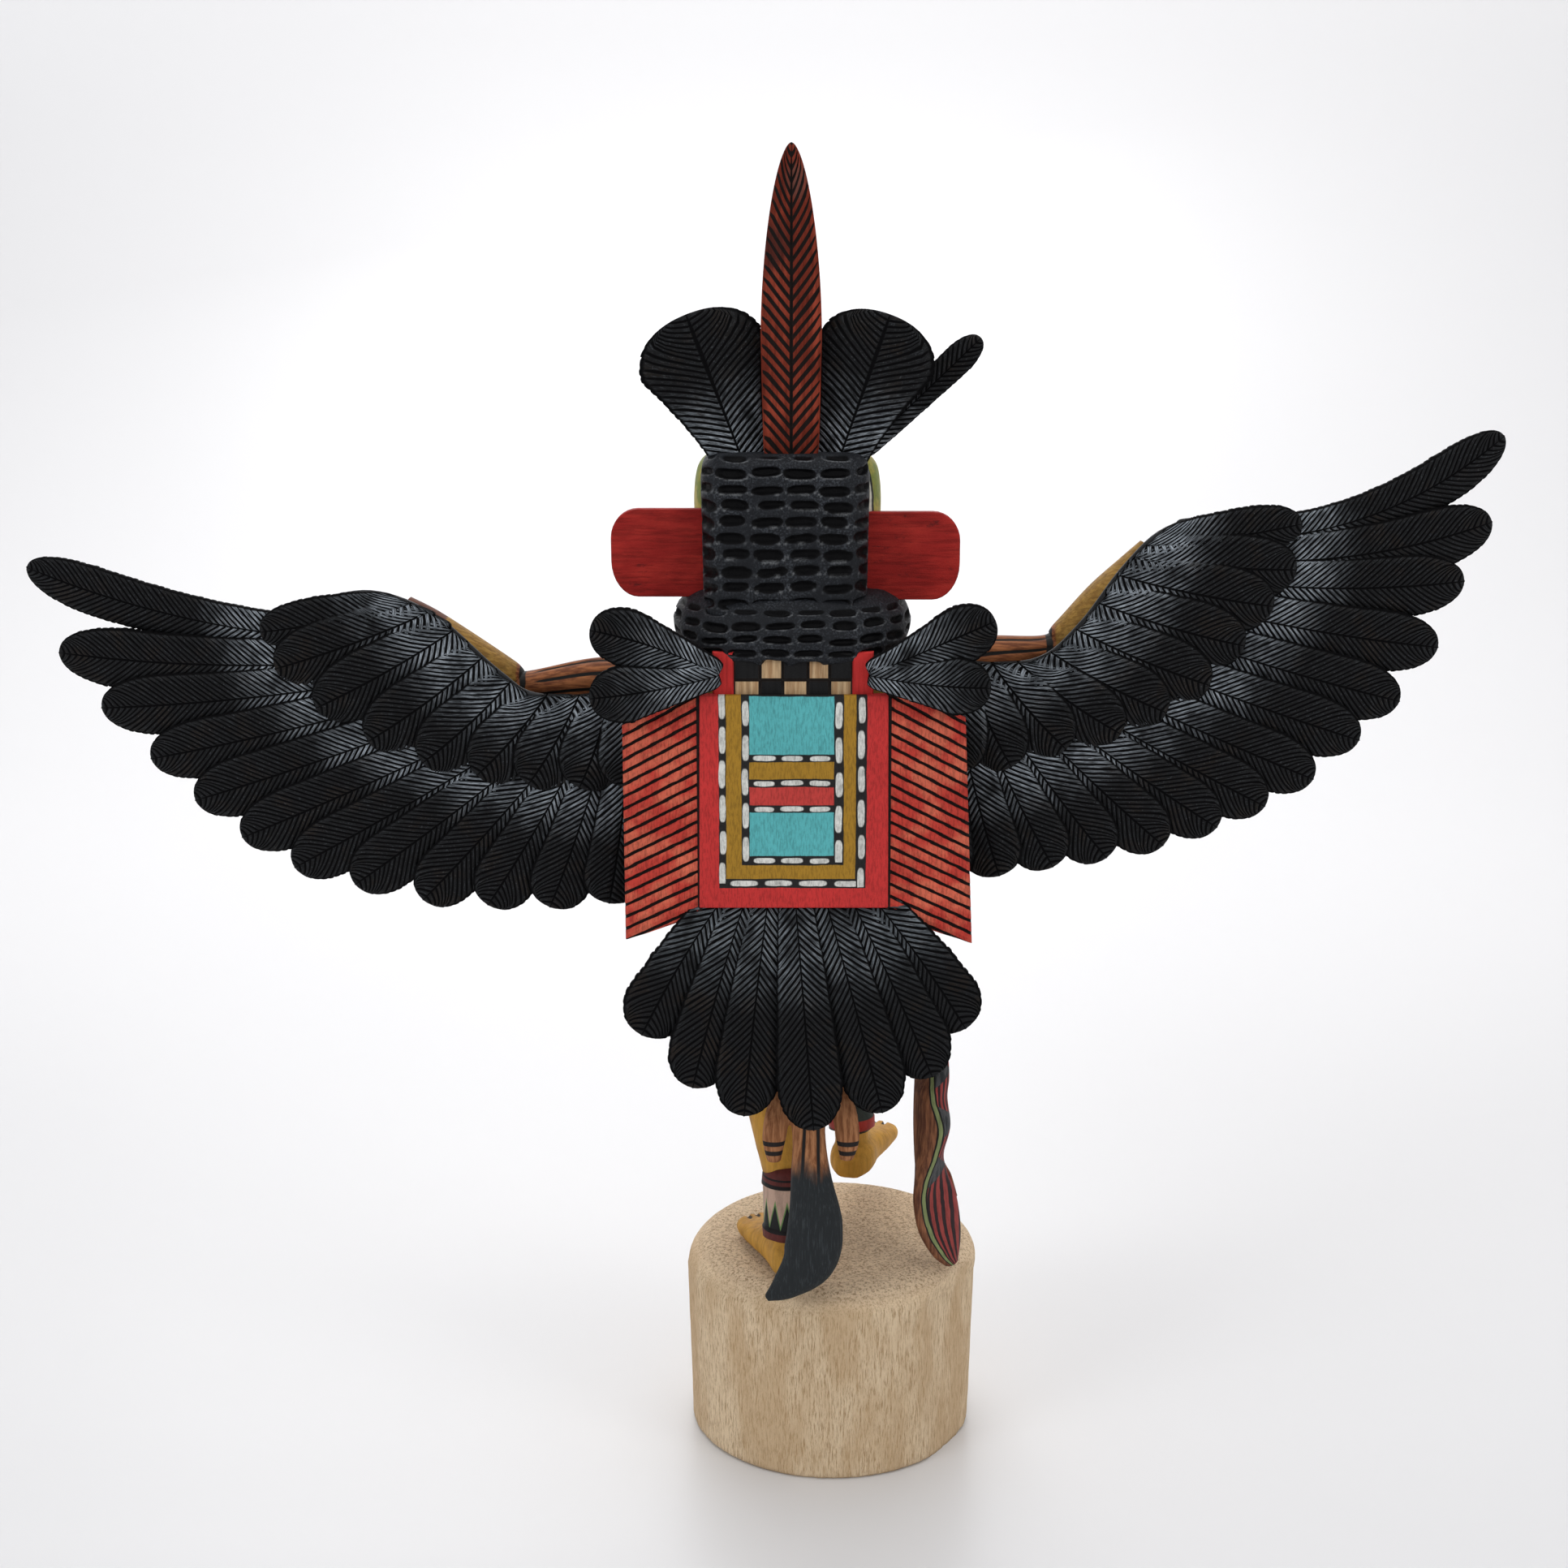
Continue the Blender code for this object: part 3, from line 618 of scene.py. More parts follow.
def pleats(at):
    fall = 1 - (at.z / MM - FEET - 84) / 60
    turn = math.atan2(at.y / MM - 10, at.x / MM - AXIS_X + 3)
    return 0.55 * fall * math.sin(turn * 16) + 0.3 * noise.noise(at * 120)


push_skin(kilt, pleats)
belt_stations = [
    (0, 16, 143, 27.6, 20.8, 2.4), (0, 16, 143.6, 28.6, 21.8, 2.4), (0, 16, 148, 28.6, 21.9, 2.4),
    (0, 16, 152.4, 28, 21.4, 2.4), (0, 16, 153, 27, 20.6, 2.4),
]
belt = mesh_piece("figure_belt", *turned(belt_stations, 14, 120))

kilt_paint, tree, place = start_finish("kilt paint", 0.7, 0.2)
x, y, z = off_axis(place)
wobble = (noise_at(place, 200.0, 2.0) - 0.5) * 1.2
hem = (z + wobble).below(92.6, 93.4)
panel = (x + wobble + 3.0).size().ramp(25.6, 26.4)
border = hem.at_least(panel * y.ramp(-12.0, -11.0))
edge_line = (z + wobble - 94.6).size()
cloth = (0.62, 0.58, 0.49, 1)
dark = (0.028, 0.03, 0.034, 1)
under = mixed(edge_line.below(0.5, 0.9), cloth, (0.35, 0.03, 0.02, 1))
colour = mixed(border, under, dark)
stripe = (z + wobble - 88.6).near(0.9, 1.3)
colour = mixed(stripe, colour, (0.06, 0.22, 0.09, 1))
thin = (z + wobble - 91.0).near(0.4, 0.7) + (z + wobble - 86.0).near(0.4, 0.7)
colour = mixed(thin.at_most(1.0), colour, (0.5, 0.06, 0.035, 1))
end_brushed(tree, place, colour, (700, 700, 90), 0.25, 0.25, 0.00022)
put_on(kilt, kilt_paint)

belt_paint, tree, place = start_finish("belt paint", 0.6, 0.2)
x, y, z = off_axis(place)
band = (z - 148.0).size()
colour = mixed(band.below(2.6, 3.0), (0.02, 0.02, 0.022, 1), (0.36, 0.035, 0.022, 1))
dash = (((x + AXIS_X) * 0.22).work("FRACT") - 0.5).size().ramp(0.26, 0.3)
colour = mixed(band.below(0.9, 1.2) * dash, colour, (0.62, 0.58, 0.46, 1))
end_brushed(tree, place, colour, (500, 500, 500), 0.2, 0.2, 0.0002)
put_on(belt, belt_paint)

# The anklets: raised bands left round each ankle and painted, with a maroon rim above and below a
# pale band of dark triangles edged in green. The lifted one is plainer.
ANKLET = [
    (2.5, 29.6, 36.2, 6.6, 7.2), (2.45, 29.8, 35.8, 8.2, 8.8), (2.4, 30.2, 32.0, 8.6, 9.0),
    (2.4, 30.3, 31.4, 8.1, 8.5), (2.1, 31.4, 17.6, 8.1, 8.5), (2.05, 31.6, 17.0, 8.7, 9.0),
    (2, 32, 13.6, 8.5, 8.8), (2, 32, 13.2, 6.6, 7.0),
]
anklet = mesh_piece("figure_anklet_left", *skin(limb_rows(ANKLET, 72)))
CUFF = [
    (-20, -26, 52.4, 7.6, 8.2), (-20, -26, 52, 9.6, 10.2), (-21, -20.4, 38.6, 8.6, 9.2),
    (-21, -20.3, 38.2, 8.1, 8.7), (-21.3, -19.4, 36.6, 8.0, 8.6), (-21.3, -19.3, 36.2, 8.6, 9.1),
    (-21.6, -18.6, 32.6, 8.4, 8.9), (-21.6, -18.6, 32.2, 6.6, 7.1),
]
cuff = mesh_piece("figure_anklet_right", *skin(limb_rows(CUFF, 72)))
anklet_paint, tree, place = start_finish("anklet paint", 0.55, 0.15)
x, y, z = off_axis(place)
turn = (y - 31.0).work("ARCTAN2", x - 2.2)
middle = (z - 25.4).near(7.6, 7.9)
zigzag = ((turn * 1.9).work("FRACT") - 0.5).size() * 2.0
above_teeth = z - 22.4 - (zigzag - 0.5) * 9.0
pale = (0.55, 0.37, 0.28, 1)
maroon = (0.12, 0.028, 0.024, 1)
colour = mixed(above_teeth.below(1.5, 1.8), pale, (0.17, 0.29, 0.10, 1))
colour = mixed(above_teeth.below(-0.2, 0.2), colour, (0.02, 0.02, 0.02, 1))
colour = mixed(middle, maroon, colour)
rim = (z - 33.2).near(0.6, 0.9) + (z - 17.5).near(0.6, 0.9) + (z - 35.7).near(0.25, 0.45)
colour = mixed(rim.at_most(1.0), colour, (0.012, 0.01, 0.01, 1))
lifted = 1.0 - y.over(0.0)
band = mixed(z.below(37.3, 37.7), (0.026, 0.032, 0.026, 1), (0.33, 0.03, 0.02, 1))
band = mixed(z.below(33.3, 33.7), band, (0.014, 0.012, 0.012, 1))
colour = mixed(lifted, colour, band)
end_brushed(tree, place, colour, (500, 500, 120), 0.25, 0.2, 0.0002)
put_on(anklet, anklet_paint)
put_on(cuff, anklet_paint)

# The head: a mask painted in yellow-green, its back edge lined white and black, with a hooked beak.
# The hair behind it is a squared block and the ruff of fir a thick ring, both gouged in rows.
mask_stations = [
    (2, -2, 226, 26, 22, 2.6), (2, -2, 240, 30, 24, 2.8), (2, -2, 256, 31, 24.4, 2.8),
    (2, -2, 268, 31, 24, 2.8), (2, -1.6, 274.5, 29.8, 23, 2.7), (2, -1, 278, 27, 20.6, 2.6),
    (2, 0, 279.8, 22, 17, 2.4),
]
beak_stations = [
    (2, -16, 254, 9.5, 9.5), (2, -25, 254, 8.4, 8.8), (2, -33, 253, 7, 7.6), (2, -39, 250, 5.6, 6.2),
    (2, -43, 245.5, 3.8, 4.2), (2, -44.8, 240, 2.1, 2.3), (2, -45, 236.6, 0.7, 0.8),
]
mask = carve_whole("figure_mask", [
    turned(mask_stations, 50, 120),
    limb(beak_stations, 40, 32),
], 0.9, 0.15)
mask_paint, tree, place = start_finish("mask paint", 0.5, 0.2)
x, y, z = off_axis(place)
x = x - 2.0
wobble = (noise_at(place, 220.0, 2.0) - 0.5) * 1.0
patch = noise_at(place, 90.0, 3.0)
green = mixed(patch.ramp(0.42, 0.58), (0.20, 0.24, 0.04, 1), (0.44, 0.37, 0.07, 1))
colour = mixed((y + wobble).ramp(12.4, 12.8), green, (0.015, 0.015, 0.015, 1))
colour = mixed((y + wobble).ramp(13.4, 13.8), colour, (0.62, 0.6, 0.5, 1))
colour = mixed((y + wobble).ramp(16.0, 16.4), colour, (0.03, 0.025, 0.02, 1))
front = (y + wobble).below(-13.0, -12.4)
eye_x = (x.size() - 14.0).size()
eye_z = (z - 262.0).size()
eye = (eye_x + wobble * 0.3).below(5.2, 5.6) * (eye_z + wobble * 0.3).below(2.2, 2.6)
cheek = (z + wobble).below(240.4, 241.2) * front
colour = coated(
    colour,
    (front * (z + wobble - 241.4).near(0.7, 1.1), (0.02, 0.02, 0.02, 1)),
    (cheek, (0.42, 0.05, 0.03, 1)),
    (eye * front, (0.012, 0.012, 0.012, 1)),
)
bill = (y + wobble).below(-26.8, -26.2)
mouth = (z - 252.6 + (y + 30.0) * 0.2).near(0.4, 0.8)
hook = mixed(mouth, (0.5, 0.33, 0.06, 1), (0.02, 0.02, 0.02, 1))
hook = mixed(y.below(-43.4, -41.6), hook, (0.03, 0.028, 0.026, 1))
colour = mixed(bill, colour, hook)
end_brushed(tree, place, colour, (600, 600, 600), 0.2, 0.2, 0.0002)
put_on(mask, mask_paint)


def start_rule(name, asked):
    """A new Geometry Nodes tree, and a function that reads its named inputs."""
    tree = bpy.data.node_groups.new(name, "GeometryNodeTree")
    for way in ("OUTPUT", "INPUT"):
        tree.interface.new_socket("Geometry", in_out=way, socket_type="NodeSocketGeometry")
    kinds = {float: "Float", int: "Int", tuple: "Vector", type(None): "Material"}
    for label, value in asked.items():
        kind = "NodeSocket" + kinds[type(value)]
        socket = tree.interface.new_socket(label, in_out="INPUT", socket_type=kind)
        if value is not None:
            socket.default_value = value
    given = tree.nodes.new("NodeGroupInput")
    return tree, lambda label: Measure(tree, given.outputs[label])


def end_rule(made, paint):
    """Ends a rule: one real mesh, smooth, in its paint."""
    tree = made.tree
    made = add(tree, "GeometryNodeRealizeInstances", {0: made})
    made = add(tree, "GeometryNodeSetShadeSmooth", {"Geometry": made, "Shade Smooth": True})
    made = add(tree, "GeometryNodeSetMaterial", {"Geometry": made, "Material": paint})
    feed(tree, tree.nodes.new("NodeGroupOutput").inputs[0], made)
    return tree


def stored(made, label, value, kind="FLOAT"):
    """Leaves a number or a place on every point of a tree's mesh."""
    inputs = {"Geometry": made, "Name": label, "Value": value}
    return add(made.tree, "GeometryNodeStoreNamedAttribute", inputs, data_type=kind, domain="POINT")


def chance_of(tree, x, y, z):
    """A fixed random number from 0 to 1 for a place."""
    return add(tree, "ShaderNodeTexWhiteNoise", {0: place_of(tree, x, y, z)}, noise_dimensions="3D")


def carve_by(piece, rule, sizes):
    """Carves a piece by a rule, and leaves it a plain mesh."""
    carving = piece.modifiers.new(rule.name, "NODES")
    carving.node_group = rule
    named = {item.name: item.identifier for item in rule.interface.items_tree}
    for label, value in sizes.items():
        carving[named[label]] = value
    plain_mesh(piece)


def gouge_rule():
    """Geometry Nodes that press rows of short gouge cuts into a surface."""
    tree, ask = start_rule("Gouged rows", {
        "Cut pitch": 11.0, "Row pitch": 5.25, "Cut length": 10.4, "Cut height": 3.3,
        "Depth": 1.6, "Drift": 2.0, "Row waver": 0.8, "Swell": 0.4, "Paint": None,
    })
    made = ask("Geometry")
    spread = add(tree, "GeometryNodeInputNamedAttribute", {0: "spread"}, data_type="FLOAT_VECTOR")
    round_way, rise, fade = spread.parts()
    here = add(tree, "GeometryNodeInputPosition", {})
    sway = noise_at(here, 55.0, 1.0) - 0.5
    column = (round_way / ask("Cut pitch")).whole()
    slip = chance_of(tree, column + 0.5, 3.0, 0.0) - 0.5
    high = rise + sway * ask("Row waver") * 3.0 + slip * ask("Row waver")
    row = (high / ask("Row pitch")).whole()
    shift = (chance_of(tree, row + 0.5, 1.0, 0.0) - 0.5) * ask("Drift")
    out = round_way + shift
    column = (out / ask("Cut pitch")).whole()
    chance = chance_of(tree, column + 0.5, row + 0.5, 5.0)
    other = chance_of(tree, column + 0.5, row + 0.5, 9.0)
    across = (out / ask("Cut pitch") - column - 0.5) * ask("Cut pitch") + (chance - 0.5) * 0.9
    up = (high / ask("Row pitch") - row - 0.5) * ask("Row pitch") + (other - 0.5) * 0.8
    up = up + across * (chance - 0.5) * 0.12
    long_share = across.size() / (ask("Cut length") * 0.5 * (0.82 + other * 0.2))
    high_share = up.size() / (ask("Cut height") * 0.5 * (0.8 + chance * 0.35))
    edge = (long_share.power(3.0) + high_share.power(2.6)).power(0.36)
    gouge = edge.below(0.55, 1.12)
    lip = (edge - 1.14).near(0.01, 0.12) * up.below(-1.2, 0.3)
    rough = noise_at(here, 420.0, 3.0) - 0.5
    off = rough * ask("Swell") - gouge * ask("Depth") * fade
    normal = add(tree, "GeometryNodeInputNormal", {})
    position = here.moved(normal.grown(off * MM))
    for label, value in (("gouge", gouge * fade), ("lip", lip * fade)):
        made = stored(made, label, value)
    made = add(tree, "GeometryNodeSetPosition", {"Geometry": made, "Position": position})
    return end_rule(made, ask("Paint"))


GOUGES = gouge_rule()


def gouge_rows(name, stations, count, rows, low, high, paint, **sizes):
    """A ring-shaped block gouged between two heights, its cuts measured round from its back."""
    rings = []
    spreads = []
    fine = 1440
    for station in smooth_stations(stations, rows):
        dense = [Vector(p) for p in level_rows([station], fine)[0]]
        walk = [0.0]
        for i in range(fine):
            walk.append(walk[-1] + (dense[(i + 1) % fine] - dense[i]).length)
        whole = walk[-1]
        quarter = walk[fine // 4]
        ring = []
        for k in range(count):
            goal = whole * k / count
            i = int(np.searchsorted(walk, goal, side="right")) - 1
            share = (goal - walk[i]) / max(walk[i + 1] - walk[i], 1e-9)
            ring.append(tuple(dense[i % fine].lerp(dense[(i + 1) % fine], share)))
            rise = station[2] - low
            fade = min(max(rise / 2, 0), 1) * min(max((high - station[2]) / 2, 0), 1)
            spreads.append(((goal - quarter) / MM, rise, fade))
        rings.append(ring)
    piece = mesh_piece(name, *skin(rings))
    leave(piece.data, "spread", spreads)
    carve_by(piece, GOUGES, {"Paint": paint, **sizes})
    return piece


hair_paint, tree, place = start_finish("scuffed black hair paint", 0.42, 0.1)
patch = noise_at(place, 95.0, 4.0, 0.65)
fleck = noise_at(place, 1500.0, 4.0, 0.7)
scuff = fleck.ramp(0.45, 0.68) * patch.ramp(0.3, 0.65)
colour = mixed(scuff * 0.8, (0.0135, 0.0148, 0.0175, 1), (0.065, 0.072, 0.084, 1))
# painted shade: the gouged cuts go far darker than the black paint
colour = mixed(read(tree, "gouge").ramp(0.06, 0.22), colour, (0.0015, 0.0015, 0.002, 1))
# painted highlight along the lower lip of each cut, broken up by the flecks and patches
lip_highlight = read(tree, "lip") * fleck.ramp(0.34, 0.56) * patch.ramp(0.3, 0.6)
colour = mixed(lip_highlight * 0.8, colour, (0.17, 0.178, 0.185, 1))
end_finish(tree, colour, fleck, 0.0002, 0.5 - scuff * 0.1)
hair_stations = [
    (2.8, 16, 224, 26, 20, 5), (2.8, 16, 232, 26.6, 20.5, 5), (2.8, 16, 256, 27, 20.5, 5),
    (2.8, 16, 274, 27.2, 20.5, 5), (2.8, 15.6, 279.2, 25.6, 19.2, 4.6), (2.8, 15, 281, 22, 16, 4),
]
hair = gouge_rows("figure_hair", hair_stations, 460, 150, 226, 281, hair_paint)
put_on(hair, hair_paint)
ruff_stations = [
    (0.5, 8, 212.4, 22, 24, 2.6), (0.5, 8, 213.6, 29.4, 29.6, 2.8), (0.5, 8, 215.7, 35.2, 33.9, 2.9),
    (0.5, 8, 221, 38.5, 35.6, 2.8), (0.5, 8, 226, 39.4, 34.6, 2.6), (0.5, 8, 231, 37.2, 31.8, 2.4),
    (0.5, 8, 235, 31.5, 28, 2.4), (0.5, 8, 236, 26, 23, 2.4),
]
sizes = {"Row pitch": 4.3, "Cut pitch": 10.6, "Cut length": 9.8, "Cut height": 2.7}
ruff = gouge_rows("figure_ruff", ruff_stations, 520, 90, 212.4, 232.6, hair_paint, **sizes)
put_on(ruff, hair_paint)

# The arms: whittled round pegs along the front edge of each wing. Knife lines picked out in black
# run down the brown upper arm to the elbow, the forearm is ochre and the wrist brown.
ARM_COUNT = 48
LINE_EVERY = 6
left_arm = [
    (20, 12, 203, 8, 9), (45, 11, 204, 8, 9), (66, 10, 204.5, 7, 8), (91, 9, 201.5, 5.2, 6),
    (97, 8.5, 205, 6.2, 7), (112, 7, 215, 6.2, 7), (122, 5, 223, 4.6, 5.2), (130, 4, 228.5, 3.2, 3.6),
]
right_arm = [
    (-20, 12, 204, 8, 9), (-45, 11, 209, 8, 9), (-64, 10, 212, 7, 8), (-85, 9, 214, 5.2, 6),
    (-92, 8.5, 219, 6.2, 7), (-103, 7, 231, 6.2, 7), (-112, 5, 241, 4.6, 5.2), (-118, 4, 248, 3.2, 3.6),
]
arm_paint, tree, place = start_finish("arm paint", 0.55, 0.14)
x, y, z = off_axis(place)
reach = x.size()
wobble = (noise_at(place, 240.0, 2.0) - 0.5) * 1.4
right = 1.0 - x.over(0.0)
elbow = reach + right * 5.5 + wobble
fore = elbow.ramp(92.0, 93.0)
wrist = (reach + wobble + (z - 228.0) * 0.4 - right * 12.0).ramp(114.0, 115.0)
streak = noise_at(place.times((0.1, 1.0, 1.0)), 900.0, 3.0, 0.6)
brown = mixed(streak.ramp(0.35, 0.65), (0.14, 0.042, 0.016, 1), (0.34, 0.122, 0.044, 1))
colour = mixed(fore, brown, mixed(streak.ramp(0.4, 0.6), (0.25, 0.13, 0.028, 1), (0.36, 0.205, 0.045, 1)))
colour = coated(
    colour,
    (wrist, (0.13, 0.05, 0.03, 1)),
    (read(tree, "cut").ramp(0.15, 0.5), (0.01, 0.009, 0.008, 1)),
    ((elbow - 90.5).near(0.8, 1.3), (0.01, 0.009, 0.008, 1)),
)
end_brushed(tree, place, colour, (90, 700, 700), 0.22, 0.2, 0.0002)
for name, stations in (("arm_left", left_arm), ("arm_right", right_arm)):
    rings = limb_rows(smooth_stations(stations, 150), ARM_COUNT, (0, 0, 1))
    lines = []
    for ring in rings:
        middle = sum((Vector(p) for p in ring), Vector()) / ARM_COUNT
        reach = abs(middle.x / MM - AXIS_X)
        share = min(1.0, max(0.0, (88 - reach) / 6))
        for k in range(ARM_COUNT):
            deep = share if k % LINE_EVERY == 2 else 0.0
            ring[k] = tuple(Vector(ring[k]).lerp(middle, 0.1 * deep))
            lines.append(deep)
    piece = mesh_piece("carved_" + name, *skin(rings))
    leave(piece.data, "cut", lines)
    put_on(piece, arm_paint)
    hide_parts(name)

# The wings: each is carved from one board as long flight feathers under a row of coverts, with a
# shaft line and slanting barbs cut into every feather. They are painted black, with a blue-grey
# dry brush over the ridges just below the coverts and along the leading edge.
BARB_PITCH = 2.25
FEATHER_THICK = 3.0
SWEEP_START = 40.0
SWEEP_LENGTH = 210.0


def feather_rule():
    """Geometry Nodes that turn points with a root, tip and width into carved feathers."""
    tree, ask = start_rule("Carved feathers", {
        "Barb pitch": BARB_PITCH, "Barb depth": 0.5, "Barb slant": 1.2, "Barb reach": 1.0, "Shaft depth": 0.8,
        "Thickness": FEATHER_THICK, "Crown": 1.0, "Ragged edge": 0.02, "Rows": 205, "Columns": 13,
        "Root tuck": 0.5, "Side": 1.0, "Sweep": 0.0, "Lean": 0.0, "Turn": 0.0, "Start": (0, 0, 0),
        "Paint": None,
    })

    def given(label):
        return add(tree, "GeometryNodeInputNamedAttribute", {0: label}, data_type="FLOAT_VECTOR").parts()

    rows = ask("Rows")
    inputs = {"Size": (2, 1, 1), "Vertices X": ask("Columns"), "Vertices Y": rows, "Vertices Z": 2}
    blank = add(tree, "GeometryNodeMeshCube", inputs)
    spread = add(tree, "GeometryNodeInstanceOnPoints", {"Points": ask("Geometry"), "Instance": blank})
    made = add(tree, "GeometryNodeRealizeInstances", {0: spread})
    u, v, s = add(tree, "GeometryNodeInputPosition", {}).parts()
    width, bow, length = given("size")
    lift, tilt, glow = given("lay")
    shoulder, peak, flare = given("shape")
    cap, which, glow_long = given("other")
    above = s.over(0.0)
    sign = u.work("SIGN")
    across_share = u.size().power(1.5)
    row = ((0.5 - v) * (rows - 1.0) + 0.5).whole()
    barb = (row / 3.0 + 0.01).whole()
    part = row - barb * 3.0
    cut = 1.0 - part.at_most(1.0)
    step = (1.0 - cut) * (part * 0.42 - 0.13)
    chance = chance_of(tree, barb + 0.5, which * 7.3, sign)
    from_tip = ask("Barb pitch") * (barb + step + (chance - 0.5) * 0.22 * across_share)
    full_slant = width * 0.5 * ask("Barb slant") / length
    shaft_share = (1.0 - from_tip / length).at_least(full_slant * -1.0).at_most(1.0)
    alive = shaft_share.ramp(-0.02, 0.01)
    there = (shaft_share.at_least(0.0) / peak).at_most(1.0).power(flare)
    slant = (full_slant * (shoulder + there * (1.0 - shoulder))).at_most((1.0 - shaft_share) * 0.85)
    along = (shaft_share + across_share * slant).at_least(0.0)
    grow = (along / peak).at_most(1.0).power(flare)
    over_peak = ((along - peak) / (1.0 - peak)).at_least(0.0).at_most(1.0)
    tip_cap = (1.0 - over_peak.power(cap)).at_least(0.0).power(1.0 / cap)
    ragged = ask("Ragged edge") * alive * across_share.power(3.0)
    reach = width * 0.5 * (shoulder + grow * (1.0 - shoulder)) * tip_cap
    reach = reach * (1.0 + ragged * (chance * 1.4 - 0.7 - cut * 1.2))
    reach = reach * (0.7 + (along / 0.06).at_most(1.0).power(0.5) * 0.3)
    across = across_share * sign * reach
    root_x, root_y, root_cut = given("root")
    tip_x, tip_y, _ = given("tip")
    line_x = tip_x - root_x
    line_y = tip_y - root_y
    middle_x = (root_x + tip_x) * 0.5 - line_y / length * bow
    middle_y = (root_y + tip_y) * 0.5 + line_x / length * bow
    back = 1.0 - along
    spot_x = root_x * back * back + middle_x * along * back * 2.0 + tip_x * along * along
    spot_y = root_y * back * back + middle_y * along * back * 2.0 + tip_y * along * along
    ahead_x = (middle_x - root_x) * back + (tip_x - middle_x) * along
    ahead_y = (middle_y - root_y) * back + (tip_y - middle_y) * along
    ahead = (ahead_x * ahead_x + ahead_y * ahead_y).work("SQRT")
    trim = root_cut * across * along.below(0.0, 0.4)
    out = spot_x - ahead_y / ahead * across + ahead_x / ahead * trim
    up = spot_y + ahead_x / ahead * across + ahead_y / ahead * trim
    centre = across_share.ramp(0.0, 0.05)
    groove = cut * centre * across_share.below(ask("Barb reach") - 0.08, ask("Barb reach"))
    shaft = (1.0 - centre) * ask("Shaft depth") * along.ramp(1.0, 0.93)
    tuck = along.below(0.0, 0.16)
    pillow = ask("Crown") * (1.0 - across_share) - across_share.power(9.0) * 0.4
    face_high = pillow - shaft - groove * ask("Barb depth") * (0.6 + chance * 0.6)
    face_high = face_high - over_peak.power(3.0) * 0.6
    under = (face_high + 0.3) * -0.5
    lay = tilt * along.ramp(0.0, 0.4)
    off = lift + across * lay + above * (ask("Thickness") + face_high) + (1.0 - above) * under
    off = off - tuck * above * ask("Root tuck")
    sweep_share = (out - SWEEP_START).at_least(0.0) / SWEEP_LENGTH
    start_x, start_y, start_z = ask("Start").parts()
    final_x = (out * ask("Side") + start_x + AXIS_X) * MM
    final_y = start_y - ask("Sweep") * sweep_share * sweep_share + ask("Lean") * up + ask("Turn") * out
    final_z = (up + start_z + FEET) * MM
    position = place_of(tree, final_x, (final_y + off) * MM, final_z)
    light = ((along - glow) * length / glow_long).at_least(0.0).below(0.0, 1.0) * (above * 0.8 + 0.2)
    for label, value in (("cut", groove), ("light", light), ("edge", across_share)):
        made = stored(made, label, value)
    made = stored(made, "strand", place_of(tree, from_tip, across, which), "FLOAT_VECTOR")
    made = add(tree, "GeometryNodeSetPosition", {"Geometry": made, "Position": position})
    made = add(tree, "GeometryNodeMergeByDistance", {"Geometry": made, "Distance": 0.000002})
    mirrored = (ask("Side") * -1.0).over(0.0)
    made = add(tree, "GeometryNodeFlipFaces", {"Mesh": made, "Selection": mirrored})
    return end_rule(made, ask("Paint"))


FEATHERS = feather_rule()

# shoulder share, where the feather is widest, how it flares, and how square its tip is
FLIGHT = (0.62, 0.8, 0.7, 2.2)
COVERT = (0.72, 0.6, 0.7, 2.4)
PADDLE = (0.44, 0.70, 1.5, 2.2)
LANCE = (0.88, 0.42, 0.7, 1.75)


def carve_feathers(name, feathers, paint, **sizes):
    """Feathers from a list of root, tip, width, bow, kind, lift, tilt, glow and how long it fades."""
    mesh = bpy.data.meshes.new(name)
    mesh.from_pydata([(0, 0, 0)] * len(feathers), [], [])
    columns = {"root": [], "tip": [], "size": [], "lay": [], "shape": [], "other": []}
    for i, (root, tip, width, bow, kind, lift, tilt, glow, fade) in enumerate(feathers):
        length = (Vector(tip[:2]) - Vector(root[:2])).length
        columns["root"].append((root[0], root[1], root[2] if len(root) > 2 else 0))
        columns["tip"].append((*tip, 0))
        columns["size"].append((width, bow, length))
        columns["lay"].append((lift, tilt, glow))
        columns["shape"].append(kind[:3])
        columns["other"].append((kind[3], i + 1, fade))
    for label, rows in columns.items():
        leave(mesh, label, rows)
    piece = placed(name, mesh)
    carve_by(piece, FEATHERS, {"Paint": paint, **sizes})
    return piece


